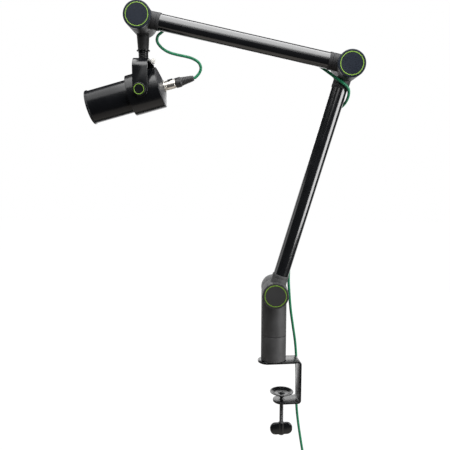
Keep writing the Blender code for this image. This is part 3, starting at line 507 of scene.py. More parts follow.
def make_stage():
    floor_shape = bmesh.new()
    bmesh.ops.create_grid(floor_shape, x_segments=1, y_segments=1, size=6000)
    floor = mesh_object("floor", floor_shape, shift(0, 0, -412))
    pale = bpy.data.materials.new("pale_floor")
    pale.use_nodes = True
    shader = pale.node_tree.nodes["Principled BSDF"]
    shader.inputs["Base Color"].default_value = (0.01, 0.01, 0.01, 1)
    shader.inputs["Roughness"].default_value = 0.9
    shader.inputs["Emission Color"].default_value = (1, 1, 1, 1)
    shader.inputs["Emission Strength"].default_value = 1.0
    floor.data.materials.append(pale)
    floor.visible_glossy = False
    floor.visible_diffuse = False

    world = bpy.data.worlds.new("studio")
    bpy.context.scene.world = world
    world.use_nodes = True
    tree = world.node_tree
    tree.nodes.clear()
    seen = linked(tree, "ShaderNodeBackground", Color=(1, 1, 1, 1), Strength=1.0)
    around = linked(tree, "ShaderNodeBackground", Color=(1, 1, 1, 1), Strength=0.05)
    path = tree.nodes.new("ShaderNodeLightPath")
    mixed = tree.nodes.new("ShaderNodeMixShader")
    tree.links.new(path.outputs["Is Camera Ray"], mixed.inputs["Fac"])
    tree.links.new(around.outputs[0], mixed.inputs[1])
    tree.links.new(seen.outputs[0], mixed.inputs[2])
    tree.links.new(mixed.outputs[0], tree.nodes.new("ShaderNodeOutputWorld").inputs["Surface"])

    panel("overhead", (0.05, -0.36, 1.15), (0.05, -0.36, 0.0), 1.2, 0.95, 8.5)
    panel("overhead_left", (-0.8, -0.36, 1.15), (-0.8, -0.36, 0.0), 0.5, 0.95, 4.2)
    panel("front_high", (-0.03, -1.35, 1.3), (-0.03, -0.05, 0.7), 1.0, 0.34, 5.0)
    panel("front_low", (-0.05, -1.35, 0.9), (-0.05, -0.05, 0.6), 0.7, 0.2, 2.4)
    panel("key", (1.15, -0.62, 0.42), (0.1, -0.04, 0.42), 0.8, 1.22, 11.0)
    panel("side", (-1.15, 0.15, 0.42), (0.1, -0.04, 0.3), 0.7, 0.6, 1.4)
    panel("bounce", (-0.05, 0.0, -0.4), (-0.05, 0.0, 1.0), 1.8, 0.9, 0.8, (1.0, 0.93, 0.85))
    panel("backdrop", (0.0, 2.3, 0.0), (0.0, 0.0, 0.0), 5.0, 2.04, 1.5)
    panel("low_back", (0.05, 1.5, 0.6), (0.0, 0.0, 0.0), 0.7, 0.3, 2.7)
    bpy.context.scene.view_settings.view_transform = "Standard"


# ---------- clamp and post


def make_clamp():
    top, low = STRAP_UNDER + STRAP_THICKNESS, FOOT_TOP - STRAP_THICKNESS
    outer, inner = 7.0, 3.0
    x_bend, x_inner = STRAP_OUTER_X - outer, STRAP_OUTER_X - STRAP_THICKNESS
    outline = [(STRAP_LEFT_X, STRAP_UNDER), (STRAP_LEFT_X, top)]
    outline += arc((x_bend, top - outer), outer, 90, 0, 12)
    outline += arc((x_bend, low + outer), outer, 0, -90, 12)
    outline += [(FOOT_LEFT_X, low), (FOOT_LEFT_X, FOOT_TOP)]
    outline += arc((x_inner - inner, FOOT_TOP + inner), inner, -90, 0, 8)
    outline += arc((x_inner - inner, STRAP_UNDER - inner), inner, 0, 90, 8)
    strap = extruded(outline, -STRAP_WIDTH / 2, STRAP_WIDTH / 2)
    free_ends = [
        edge
        for edge in strap.edges
        if all(vert.co.x in (STRAP_LEFT_X, FOOT_LEFT_X) for vert in edge.verts)
        and edge.verts[0].co.z == edge.verts[1].co.z
    ]
    bmesh.ops.bevel(
        strap, geom=free_ends, offset=STRAP_WIDTH / 2 - 1, offset_type="OFFSET", segments=20,
        profile=0.5, affect="EDGES",
    )
    sink = [(0, 0), (7.4, 0), (7.4, STRAP_UNDER + 0.6), (4.6, STRAP_UNDER + 3.4), (4.6, 20), (0, 20)]
    upright = FACING_FRONT.inverted()
    piece(
        "strap", strap, CLAMP @ FACING_FRONT, "clamp", "black_steel", ["clamp_bracket"], bevel=0.6,
        steps=[
            drilled(NUT_HOLE, FOOT_TOP - 10, FOOT_TOP + 10, upright @ shift(SCREW_X)),
            removed(turned(sink, SMALL), upright),
        ],
    )

    x0, x1, wide = STRAP_LEFT_X + 2, STRAP_OUTER_X - 14, STRAP_WIDTH / 2 - 2
    pad = [(x1, -wide), (x1, wide)]
    pad += arc((x0 + wide, 0), wide, 90, 270, 24)
    piece("desk_liner", extruded(pad, 0, DESK_PAD), CLAMP, "clamp", "rubber", ["desk_pad"], bevel=0.25)

    socket_low = top + FIT
    socket = [
        (0, socket_low), (POST_RADIUS - 1.2, socket_low), (POST_RADIUS, socket_low + 1.4),
        (POST_RADIUS, SOCKET_TOP), (BUSH_HOLE, SOCKET_TOP), (BUSH_HOLE, 20), (0, 20),
    ]
    piece(
        "socket", turned(softened(socket, 0.7)), CLAMP, "clamp", "powder_coat", ["post_socket"],
        steps=[drilled(STUD_HOLE, 0, 17)],
    )

    corners = [math.radians(60 * i) for i in range(6)]
    hexagon = [(NUT_RADIUS * math.cos(a), NUT_RADIUS * math.sin(a)) for a in corners]
    collar = disc(6.8, -4.5, 0.3, 0.3, SMALL)
    piece(
        "foot_hex_nut", extruded(hexagon, -7.0, -4.4), CLAMP @ shift(SCREW_X, 0, FOOT_TOP), "clamp",
        "black_steel", ["foot_nut"], bevel=0.5,
        steps=[joined(collar), drilled(SCREW_RADIUS + FIT, -20, 20)],
    )


def make_clamp_screw():
    pad = [
        (3.2, -3.2), (6.0, -3.2), (7.5, -4.4), (15.0, -3.6), (22.4, 0), (PAD_RADIUS, 0),
        (PAD_RADIUS, -1.5), (18.0, -4.6), (9.0, -7.0), (8.0, -10.5), (3.2, -10.5),
    ]
    at = SCREW @ shift(0, 0, PAD_TOP)
    piece("screw_pad", turned(softened(pad, 1.1)), at, "pressure_pad", "black_steel", ["pressure_pad"])

    hub_low, rivet = PAD_TOP - 10.5 - FIT, PAD_TOP - 3.2 + FIT
    tip = [
        (0, hub_low - 3), (SCREW_RADIUS - 0.5, hub_low - 3), (SCREW_RADIUS - 0.5, hub_low),
        (2.8, hub_low), (2.8, rivet), (4.6, rivet), (3.6, rivet + 1.5), (0, rivet + 2.2),
    ]
    rod = threaded(SCREW_RADIUS, 0.75, HANDLE_LOW + 8, hub_low - 1, 2.0)
    piece(
        "screw_rod", rod, SCREW, "clamp_screw", "black_steel", ["clamp_screw"],
        steps=[joined(turned(softened(tip, 0.5), SMALL))], sharp=50,
    )

    height, middle = HANDLE_HIGH - HANDLE_LOW, (HANDLE_HIGH + HANDLE_LOW) / 2
    wings = extruded(rounded_rectangle(HANDLE_WIDTH, height, 11.5, 14), -4, 4)
    hub = disc(6.2, -height / 2 - 0.4, height / 2 + 0.8, 1.0, SMALL)
    upright = FACING_REAR.inverted()
    bore = drilled(SCREW_RADIUS + FIT, -height / 2 + 8 - FIT, height / 2 + 5, upright)
    piece(
        "handle", wings, SCREW @ shift(0, 0, middle) @ FACING_REAR, "clamp_screw", "black_steel",
        ["wing_handle"], bevel=2.2, steps=[joined(hub, upright), bore], look="yoke",
    )


def make_post():
    z = BASE_PIVOT[1]
    low = SOCKET_TOP + 1
    column = [
        (0, 100), (SPIGOT_HOLE, 100), (SPIGOT_HOLE, low), (POST_RADIUS, low), (POST_RADIUS, z - 3.7),
        (0, z - 3.7),
    ]
    front, rear = -HOUSING_HALF + JOINT_GAP, HOUSING_HALF
    hub = shift(0, 0, z) @ FACING_REAR
    clear, step = BASE_RADIUS + 1, 0.5
    piece(
        "post_body", turned(softened(column, 0.7)), POST, "post", "powder_coat", ["post_column"],
        steps=[
            removed(disc(clear, front - 30, front + step), hub),
            removed(disc(clear, rear - step, rear + 30), hub),
            joined(disc(BASE_RADIUS, front, rear, 0.9), hub),
            drilled(BOLT_HOLE, front - 1, rear - 7, hub),
        ],
    )
    at = POST @ shift(0, rear + CAP_DEPTH, z) @ FACING_FRONT
    make_cap("base_back", at, "post", "base_rear_cap", BASE_RADIUS)


def make_cap(name, where, body, node, radius, ring_node=None, look="cap"):
    """A round cap over a joint. With ring_node it has a groove, and the coloured ring that fills it."""
    middle = radius * RING_MIDDLE
    inner, outer = middle - RING_HALF - 0.12, middle + RING_HALF + 0.12
    groove = ring_groove(inner, outer, 1.2)
    back = CAP_DEPTH - FIT
    face = [(0, 0), *(groove if ring_node else [])]
    plate = turned([*face, *rounded_rim(radius, 1.6), (radius, back), (0, back)])
    piece(f"{name}_plate", plate, where, body, "cap", [node], look=look)
    if ring_node:
        ring = sleeve(middle - RING_HALF, middle + RING_HALF, -0.1, 0.9, 0.25)
        piece(f"{name}_inlay", ring, where, body, "green_ring", [ring_node])


def ring_groove(inner, outer, depth):
    """The outline of a groove for a coloured ring, with softened edges, from the inside out."""
    low, high = inner - 0.1, outer + 0.1
    return [(low, 0), (inner, 0.1), (inner, depth), (outer, depth), (outer, 0.1), (high, 0)]


def rounded_rim(radius, size):
    """The rounded edge between a face at height 0 and the side of a disc."""
    angles = [math.pi / 2 * i / 6 for i in range(7)]
    return [(radius + size * (math.sin(a) - 1), size * (1 - math.cos(a))) for a in angles]


# ---------- arms


def make_housing(
    name, node, where, body, at_z, layer_y, radius, collar_side, bolt_head=False, look="housing"
):
    """A round joint housing about Y, with a collar towards collar_side for a tube."""
    front = layer_y - HOUSING_HALF + (0 if bolt_head else JOINT_GAP)
    rear = layer_y + HOUSING_HALF - (JOINT_GAP if bolt_head else 0)
    hub = shift(0, 0, at_z) @ FACING_REAR
    flip = Matrix() if collar_side > 0 else spin_about("X", math.pi)
    collar = [
        (0, 6), (COLLAR_RADIUS - 0.3, 6), (COLLAR_RADIUS - 0.3, COLLAR_END - 7.4),
        (COLLAR_RADIUS - 0.9, COLLAR_END - 6.8), (COLLAR_RADIUS, COLLAR_END - 6.0),
        (COLLAR_RADIUS, COLLAR_END), (0, COLLAR_END),
    ]
    at = hub.inverted() @ shift(0, layer_y, at_z) @ flip
    bore = disc(TUBE_RADIUS + FIT, TUBE_INSET - FIT, COLLAR_END + 5)
    steps = [joined(turned(softened(collar, 0.6)), at), removed(bore, at)]
    if bolt_head:
        steps += [drilled(BOLT_RECESS, front - 1, front + 8), drilled(BOLT_HOLE, front + 7, rear + 1)]
    else:
        steps.append(drilled(BOLT_HOLE, front - 1, rear - 7))
    drum = disc(radius, front, rear, 0.9)
    # the default look "housing" is the powder coat darkened as painted shade
    piece(name, drum, where @ hub, body, "powder_coat", [node], look, steps=steps)


def make_tube(name, node, where, body, length, layer_y):
    inner_radius, inner_half = TUBE_RADIUS - TUBE_WALL, CHANNEL_HALF + CHANNEL_WALL
    outer_open = math.degrees(math.asin(CHANNEL_HALF / TUBE_RADIUS))
    inner_open = math.degrees(math.asin(inner_half / inner_radius))
    outer = arc((0, 0), TUBE_RADIUS, 90 + outer_open, 450 - outer_open, ROUND)
    inner = arc((0, 0), inner_radius, 90 + inner_open, 450 - inner_open, ROUND)
    outer += [(CHANNEL_HALF, CHANNEL_FLOOR), (-CHANNEL_HALF, CHANNEL_FLOOR)]
    floor = CHANNEL_FLOOR - CHANNEL_WALL
    inner += [(inner_half, floor), (-inner_half, floor)]
    bar = hollow_bar(outer, inner, TUBE_INSET, length - TUBE_INSET)
    piece(name, bar, where @ shift(0, layer_y), body, "satin_black", [node], look="tube")


def make_arms():
    base = (LOWER, "lower_arm")
    make_housing("base_shell", "base_housing", *base, 0, LOWER_Y, BASE_RADIUS, 1, True, "powder_coat")
    make_tube("lower_bar", "lower_tube", *base, LOWER_LENGTH, LOWER_Y)
    make_housing("elbow_shell", "lower_elbow_housing", *base, LOWER_LENGTH, LOWER_Y, JOINT_RADIUS, -1)
    front, rear = LOWER_Y - HOUSING_HALF - CAP_DEPTH, LOWER_Y + HOUSING_HALF + CAP_DEPTH
    at = LOWER @ shift(0, front) @ FACING_REAR
    # the base's front cap takes the look "base_cap": the cap plastic lightened as painted light
    make_cap("base_front", at, "lower_arm", "base_cap", BASE_RADIUS, "base_ring", look="base_cap")
    at = LOWER @ shift(0, rear, LOWER_LENGTH) @ FACING_FRONT
    make_cap("elbow_back", at, "lower_arm", "elbow_rear_cap", JOINT_RADIUS)

    arm = (UPPER, "upper_arm")
    make_housing("upper_shell", "upper_elbow_housing", *arm, 0, UPPER_Y, JOINT_RADIUS, 1, True)
    make_tube("upper_bar", "upper_tube", *arm, UPPER_LENGTH, UPPER_Y)
    make_housing("head_shell", "head_housing", *arm, UPPER_LENGTH, UPPER_Y, JOINT_RADIUS, -1, True)
    front = UPPER_Y - HOUSING_HALF - CAP_DEPTH
    for name, at_z in (("elbow", 0), ("head", UPPER_LENGTH)):
        at = UPPER @ shift(0, front, at_z) @ FACING_REAR
        make_cap(f"{name}_front", at, "upper_arm", f"{name}_cap", JOINT_RADIUS, f"{name}_ring")


# ---------- neck and yoke


def make_neck():
    stub = [
        (0, NECK_LOW), (NECK_LOW_RADIUS, NECK_LOW), (NECK_TOP_RADIUS, -18),
        (NECK_TOP_RADIUS + 0.6, -10), (0, -10),
    ]
    at = FACING_REAR.inverted() @ shift(0, LOWER_Y)
    hole = drilled(BOLT_HOLE, NECK_LOW - 5, NECK_LOW + 14, at)
    front, rear = LOWER_Y - HOUSING_HALF + JOINT_GAP, LOWER_Y + HOUSING_HALF
    # the look "housing" is the powder coat darkened as painted shade
    piece(
        "neck_shell", disc(JOINT_RADIUS, front, rear, 0.9), HEAD @ FACING_REAR, "head", "powder_coat",
        ["neck_housing"], "housing",
        steps=[
            joined(turned(softened(stub, 0.8)), at), hole, drilled(BOLT_HOLE, front - 1, rear - 7),
        ],
    )
    at = HEAD @ shift(0, rear + CAP_DEPTH) @ FACING_FRONT
    make_cap("head_back", at, "head", "head_rear_cap", JOINT_RADIUS)

    flange_low = NECK_LOW - FIT - 2.6
    neck = HEAD @ shift(0, LOWER_Y)
    flange = sleeve(BOLT_HOLE, FLANGE_RADIUS, flange_low, NECK_LOW - FIT, 0.7)
    piece("flange", flange, neck, "head", "satin_black", ["neck_flange"])
    low, high = YOKE_TOP + FIT - HEAD_PIVOT[1], flange_low - FIT
    rings = [(BOLT_HOLE, low), (ADAPTER_RADIUS, low)]
    knurl_low, knurl_high, count = low + 2.0, high - 2.5, 4
    for i in range(count):
        start = knurl_low + (knurl_high - knurl_low) * i / count
        end = knurl_low + (knurl_high - knurl_low) * (i + 0.55) / count
        rings += [(ADAPTER_RADIUS, start), (ADAPTER_RADIUS - 0.5, start + 0.2)]
        rings += [(ADAPTER_RADIUS - 0.5, end - 0.2), (ADAPTER_RADIUS, end)]
    rings += [(ADAPTER_RADIUS, high), (BOLT_HOLE, high)]
    piece("adapter", turned(softened(rings, 0.3, 2)), neck, "head", "satin_black", ["thread_adapter"])


def make_yoke():
    top = YOKE_TOP - MIC_PIVOT[1]
    inner_half, inner_corner = YOKE_HALF - YOKE_THICKNESS, YOKE_CORNER - YOKE_THICKNESS
    middle = YOKE_HALF - YOKE_CORNER
    outline = [(YOKE_HALF, 0)]
    outline += arc((middle, top - YOKE_CORNER), YOKE_CORNER, 0, 90, 16)
    outline += arc((-middle, top - YOKE_CORNER), YOKE_CORNER, 90, 180, 16)
    outline += [(-YOKE_HALF, 0), (-inner_half, 0)]
    outline += arc((-middle, top - YOKE_CORNER), inner_corner, 180, 90, 16)
    outline += arc((middle, top - YOKE_CORNER), inner_corner, 90, 0, 16)
    outline += [(inner_half, 0)]
    half = YOKE_WIDTH / 2
    lying = spin_about("Z", math.pi / 2) @ FACING_FRONT
    back = lying.inverted()
    ends = [
        joined(disc(half, low, high, 0.6), back @ FACING_REAR)
        for low, high in ((-YOKE_HALF, -inner_half), (inner_half, YOKE_HALF))
    ]
    offset = HEAD_PIVOT[0] - MIC_PIVOT[0]
    piece(
        "yoke_strap", extruded(outline, -half, half), PIVOT @ lying, "yoke", "satin_black",
        ["yoke_bracket"], look="yoke", bevel=0.6,
        steps=[
            *ends, drilled(STUD_HOLE, -60, 60, back @ FACING_REAR),
            drilled(YOKE_BOLT_HOLE, 40, 80, back @ shift(offset)),
        ],
    )
    start = half + MIC_PIVOT[0] - HEAD_PIVOT[0] + FIT
    end, sink = start + 7.2, start + 4
    head = [(0, start), (5, start), (5, end), (2.2, end), (2.2, sink), (0, sink)]
    at = HEAD @ shift(0, LOWER_Y, YOKE_TOP - HEAD_PIVOT[1] - 1.5) @ SIDEWAYS
    screw = turned(softened(head, 0.6), SMALL)
    piece("lock_screw", screw, at, "yoke", "steel", ["yoke_lock_screw"], "nylon")


def make_knobs():
    reach = YOKE_HALF + FIT + KNOB_DEPTH
    stud_end = KNOB_DEPTH + FIT + YOKE_THICKNESS + 6
    middle = KNOB_RADIUS * KNOB_RING_MIDDLE
    inner, outer = middle - RING_HALF, middle + RING_HALF
    rim = rounded_rim(KNOB_RADIUS, 1.4)
    stem = [(KNOB_RADIUS, KNOB_DEPTH), (KNOB_STEM, KNOB_DEPTH), (KNOB_STEM, stud_end), (0, stud_end)]
    groove = ring_groove(inner, outer, 1.1)
    front = PIVOT @ shift(0, -reach) @ FACING_REAR
    rear = PIVOT @ shift(0, reach) @ FACING_FRONT
    knob = turned([(0, 0), *groove, *rim, *stem])
    piece("tilt_knob", knob, front, "front_knob", "cap", ["front_knob"], "satin_black")
    ring = sleeve(inner + 0.1, outer - 0.1, -0.1, 0.9, 0.2)
    piece("tilt_knob_inlay", ring, front, "front_knob", "green_ring", ["front_knob_ring"])
    plain = turned([(0, 0), *rim, *stem])
    piece("back_knob", plain, rear, "rear_knob", "cap", ["rear_knob"], "satin_black")


# ---------- microphone


def perforated(radius, pitch, hole, thickness, dome):
    """A gently domed disc of hexagonal cells, each with a round hole."""
    shape = bmesh.new()
    ways = [Vector((math.cos(math.tau * i / 12), math.sin(math.tau * i / 12), 0)) for i in range(12)]
    sizes = (pitch / 2, pitch / math.sqrt(3)) * 6
    reach = int(radius / pitch) + 2
    for row in range(-2 * reach, 2 * reach + 1):
        for column in range(-2 * reach, 2 * reach + 1):
            centre = Vector((pitch * (column + 0.5 * (row % 2)), pitch * row * math.sqrt(3) / 2, 0))
            if centre.length > radius + 0.4 * pitch:
                continue
            edge = [centre + way * size for way, size in zip(ways, sizes)]
            edge = [p if p.length < radius else p * radius / p.length for p in edge]
            outer = [shape.verts.new(p) for p in edge]
            if centre.length > radius - pitch:
                shape.faces.new(outer)
                continue
            inner = [shape.verts.new(centre + way * hole / 2) for way in ways]
            for i in range(12):
                j = (i + 1) % 12
                shape.faces.new((outer[i], outer[j], inner[j], inner[i]))
    bmesh.ops.remove_doubles(shape, verts=shape.verts, dist=0.02)
    bmesh.ops.dissolve_degenerate(shape, dist=0.01, edges=shape.edges)
    for vert in shape.verts:
        vert.co.z = -dome * (1 - (vert.co.length / radius) ** 2)
    return thickened(shape, shape.faces[:], thickness)


def make_microphone():
    ride = (MIC, "mic")
    bezel = [
        (BARREL_RADIUS - 2.4, MIC_FRONT), (LIP_RADIUS, MIC_FRONT), (LIP_RADIUS, MIC_FRONT + 3.3),
        (BARREL_RADIUS, MIC_FRONT + 3.5), (BARREL_RADIUS, MIC_FRONT + 4),
        (BARREL_RADIUS - 2.4, MIC_FRONT + 4),
    ]
    piece("lip", turned(softened(bezel, 0.7)), *ride, "satin_black", ["front_bezel"])
    bore = BARREL_RADIUS - BARREL_WALL
    barrel = sleeve(bore, BARREL_RADIUS, MIC_FRONT + 4 + FIT, SHOULDER + 14, 0.15)
    piece("barrel", barrel, *ride, "satin_black", ["front_barrel"])
    grille = perforated(bore - FIT, 2.6, 1.9, 0.7, 1.8)
    at = MIC @ shift(0, 0, MIC_FRONT + 4.8)
    piece("grille_plate", grille, at, "mic", "black_steel", ["front_grille"], sharp=20)

    shell = [
        (BARREL_RADIUS + FIT, SHOULDER), (BODY_RADIUS, SHOULDER), (BODY_RADIUS, REAR_EDGE - FIT),
        (BODY_RADIUS - BODY_WALL, REAR_EDGE - FIT), (BODY_RADIUS - BODY_WALL, SHOULDER + 3),
        (BARREL_RADIUS + FIT, SHOULDER + 3),
    ]
    bosses = [joined(disc(11, low, high, 0.4), FACING_REAR) for low, high in ((-41.6, -34), (34, 41.6))]
    piece(
        "body_shell", turned(softened(shell, 0.9), 128), *ride, "satin_black", ["rear_housing"],
        look="body", steps=[*bosses, drilled(STUD_HOLE, -60, 60, FACING_REAR)],
    )
    cover = [
        (9.8, REAR_EDGE - 6), (12.5, REAR_EDGE - 6), (12.5, REAR_EDGE), (BODY_RADIUS - 0.1, REAR_EDGE),
        (BODY_RADIUS - 0.3, REAR_EDGE + 0.9), (34, REAR_EDGE + 2.5), (26, REAR_EDGE + 4.4),
        (19, REAR_EDGE + 6.0), (14, REAR_FACE), (9.8, REAR_FACE),
    ]
    piece("back_cover", turned(softened(cover, 0.8), 128), *ride, "grey_satin", ["rear_cover"])

    foam = disc(bore - FIT, MIC_FRONT + 6, MIC_FRONT + 16, 2.0, SMALL)
    made = piece("foam_disc", foam, *ride, "foam", ["foam_filter"])


def pins(step, radius, low, high):
    places = [arc((0, 0), PIN_CIRCLE, angle, angle, 1)[0] for angle in (90, 210, 330)]
    return [step(disc(radius, low, high, 0.5, 20), shift(x, y)) for x, y in places]


def make_connector():
    ride = (MIC, "mic")
    socket = [
        (0, REAR_EDGE - 10), (9.5, REAR_EDGE - 10), (9.5, REAR_FACE + FIT), (11.2, REAR_FACE + FIT),
        (11.2, REAR_FACE + 2), (8.1, REAR_FACE + 2), (8.1, REAR_EDGE - 7), (0, REAR_EDGE - 7),
    ]
    contacts = pins(joined, 1.2, REAR_EDGE - 8, REAR_EDGE + 3)
    piece("socket_ring", turned(softened(socket, 0.4)), *ride, "nickel", ["xlr_socket"], steps=contacts)

    nose_end, start = REAR_EDGE - 4, REAR_FACE + 2 + FIT
    shell = [
        (0, nose_end), (7.7, nose_end), (7.7, start), (8.7, start), (8.7, start + 2.2),
        (SHELL_RADIUS, start + 2.8), (SHELL_RADIUS, SHELL_END - 1.6),
        (SHELL_RADIUS - 0.35, SHELL_END - 1.3), (SHELL_RADIUS - 0.35, SHELL_END), (0, SHELL_END),
    ]
    pocket = extruded(rounded_rectangle(10.6, 6.6, 1.2), SHELL_RADIUS - 3.2, SHELL_RADIUS + 4)
    window = shift(0, 0, SHELL_END - 9) @ spin_about("Y", -math.pi / 2)
    piece(
        "connector_shell", turned(softened(shell, 0.35)), *ride, "nickel", ["xlr_shell"],
        steps=[*pins(removed, 1.5, nose_end - 1, REAR_EDGE + 4), removed(pocket, window)],
    )
    wide, narrow = SHELL_RADIUS + 0.5, 5.4
    boot = [(0, SHELL_END + FIT), (wide, SHELL_END + FIT)]
    boot += [(wide, SHELL_END + 10.5), (wide - 1.5, SHELL_END + 12)]
    ribs, begin = 7, SHELL_END + 13
    pitch = (BOOT_END - 2.5 - begin) / ribs
    for i in range(ribs):
        z = begin + pitch * i
        r = wide - 1.3 + (narrow - wide + 1.6) * i / ribs
        boot += [(r, z), (r - 0.15, z + 0.62 * pitch)]
        boot += [(r - 1.0, z + 0.68 * pitch), (r - 1.0, z + 0.94 * pitch)]
    boot += [(narrow, BOOT_END - 2), (narrow - 0.6, BOOT_END), (0, BOOT_END)]
    grip = extruded(rounded_rectangle(7.5, 5.0, 1.4), SHELL_RADIUS - 0.6, SHELL_RADIUS + 3)
    level = shift(0, 0, SHELL_END + 5.6) @ SIDEWAYS
    around = [removed(grip.copy(), spin_about("Z", math.tau * i / 6) @ level) for i in range(6)]
    grip.free()
    piece("boot", turned(softened(boot, 0.3, 2), SMALL), *ride, "rubber", ["xlr_boot"], steps=around)
    button = extruded(rounded_rectangle(10, 6, 1), -1.4, 1.2)
    slit = rounded_rectangle(0.7, 4.4, 0.3)
    slits = [removed(extruded(slit, 0.8, 3), shift(x)) for x in (-2.4, -0.8, 0.8, 2.4)]
    piece("latch_button", button, LATCH, "latch", "cap", ["xlr_latch"], bevel=0.3, steps=slits)


# ---------- cable


def tube_point(pivot, other, distance, y):
    way = Vector((other[0] - pivot[0], 0, other[1] - pivot[1])).normalized()
    return Vector((pivot[0], y, pivot[1])) + way * distance


def beside_tube(pivot, other, y, *places):
    """Points near a tube. A place is a distance from the pivot and how far behind y the point is."""
    return [tube_point(pivot, other, distance, y + back) for distance, back in places]


def route_length(route):
    return sum((b - a).length for a, b in zip(route, route[1:]))


def cable_piece(
    name, route, bodies, stands_for=()
):
    """A stretch of the cable. It rides on one body; between two bodies it stays fixed where it was
    made.
    """
    made = mesh_object(name, tube_along(route, CABLE_RADIUS), Matrix())
    made.data.shade_smooth()
    made.data.set_sharp_from_angle(angle=math.radians(60))
    made.data.materials.append(LOOKS["green_cable"])
    if len(bodies) == 1:
        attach(made, bodies[0])
    else:
        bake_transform(made)
    if stands_for:
        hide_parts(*stands_for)
    return made


def split(route, shares):
    """Cuts a route at shares of its length, and gives neighbours a common point."""
    whole, walked, cuts = route_length(route), 0.0, [0]
    for i, (a, b) in enumerate(zip(route, route[1:])):
        walked += (b - a).length
        if len(cuts) <= len(shares) and walked >= shares[len(cuts) - 1] * whole:
            cuts.append(i + 1)
    cuts.append(len(route) - 1)
    return [route[a : b + 1] for a, b in zip(cuts, cuts[1:])]


def make_cables():
    upper_y, lower_y = UPPER_Y + CHANNEL_CABLE, LOWER_Y + CHANNEL_CABLE
    mic_way = Vector((math.cos(MIC_PITCH), 0, math.sin(MIC_PITCH)))
    boot_end = Vector((MIC_PIVOT[0], LOWER_Y, MIC_PIVOT[1])) + mic_way * (BOOT_END + FIT)
    loop = [
        boot_end, boot_end + mic_way * 3, (-155.0, -38.3, 587.3), (-150.0, -39, 593.5),
        (-147.6, -41, 602.0), (-152.0, -43, 611.8), (-163.5, -46, 618.6), (-177.0, -48, 622.2),
        (-193.5, -50, 625.4), (-209.5, -52, 630.2), (-222.0, -53.5, 638.4), (-229.5, -54, 649.0),
        (-228.0, -54, 659.5), (-219.0, -54.5, 667.0),
        *beside_tube(HEAD_PIVOT, ELBOW_PIVOT, upper_y, (52, 8.4), (64, 4.6), (75, 0.8)),
    ]
    inside = [
        tube_point(HEAD_PIVOT, ELBOW_PIVOT, distance, upper_y)
        for distance in range(90, int(UPPER_LENGTH) - 130, 50)
    ]
    upper_end = tube_point(ELBOW_PIVOT, HEAD_PIVOT, 102, upper_y)
    whole = smooth_route([*loop, *inside, upper_end], ROUTE_STEP)
    free = route_length(smooth_route(loop, ROUTE_STEP)) / route_length(whole)
    stretches = split(whole, [MIC_SHARE * free, YOKE_SHARE * free, free])
    cable_piece("lead_mic", stretches[0], ("mic", "yoke"))
    cable_piece("lead_yoke", stretches[1], ("yoke", "head"))
    cable_piece("lead_head", stretches[2], ("head", "upper_arm"))
    cable_piece("lead_upper", stretches[3], ("upper_arm",), ["cable_upper"])

    elbow = [
        upper_end, *beside_tube(ELBOW_PIVOT, HEAD_PIVOT, upper_y, (92, 0), (82, 2.4), (71, 7.0)),
        (75.0, -56.6, 603.8), (86.8, -57.8, 595.4), (98.6, -59.2, 586.6), (110.6, -59.5, 577.8),
        (122.8, -59.2, 569.4), (132.0, -56, 561.8), (135.6, -48, 552.0), (134.6, -36, 541.2),
        (129.8, -24.5, 532.0), (118.5, -17.2, 522.5),
        *beside_tube(ELBOW_PIVOT, BASE_PIVOT, lower_y, (93, 8.2), (107, 4.6), (119, 1.0), (130, 0)),
    ]
    inside = [
        tube_point(ELBOW_PIVOT, BASE_PIVOT, distance, lower_y)
        for distance in range(160, int(LOWER_LENGTH) - 130, 60)
    ]
    lower_end = tube_point(BASE_PIVOT, ELBOW_PIVOT, 122, lower_y)
    whole = smooth_route([*elbow, *inside, lower_end], ROUTE_STEP)
    free = route_length(smooth_route(elbow, ROUTE_STEP)) / route_length(whole)
    stretches = split(whole, [free])
    cable_piece("lead_elbow", stretches[0], ("upper_arm", "lower_arm"))
    cable_piece("lead_lower", stretches[1], ("lower_arm",), ["cable_lower"])

    base = [
        lower_end, *beside_tube(BASE_PIVOT, ELBOW_PIVOT, lower_y, (112, 0), (101, 2.2), (90, 6.4)),
        (26.8, -18.4, 231.0), (29.3, -17.6, 211.0), (28.6, -15.5, 184.0), (31.0, -9.0, 152.0),
        (35.6, 4.0, 111.0),
        (41.6, 16.0, 74.0), (47.6, 27.0, 37.0), (51.0, 33.0, 3.0), (52.6, 35.0, -35.0),
        (53.2, 35.5, -75.0), (54.0, 35.5, -114.0), (58.8, 35.5, -157.0), (67.2, 35.5, -210.0),
    ]
    hank = hank_points(Vector((72.0, 35.5, -236.0)))
    whole = smooth_route([*base, *hank], ROUTE_STEP)
    tilting = route_length(smooth_route(base[:LAST_TILTING], ROUTE_STEP))
    turning = route_length(smooth_route(base[:LAST_TURNING], ROUTE_STEP)) + ABOVE_STRAP
    stretches = split(whole, [tilting / route_length(whole), turning / route_length(whole)])
    cable_piece("lead_base", stretches[0], ("lower_arm", "post"))
    cable_piece("lead_post", stretches[1], ("post", "clamp"))
    plug = make_plug(whole[-1])
    tie = make_tie()
    cable_piece(
        "lead_rest", stretches[2], ("clamp",), ["cable_hang", "cable_hank"],
    )


def hank_middle():
    return Vector((72.0, 35.5 + HANK_FRONT_TURN, -236.0 - HANK_LENGTH / 2 - FIT))


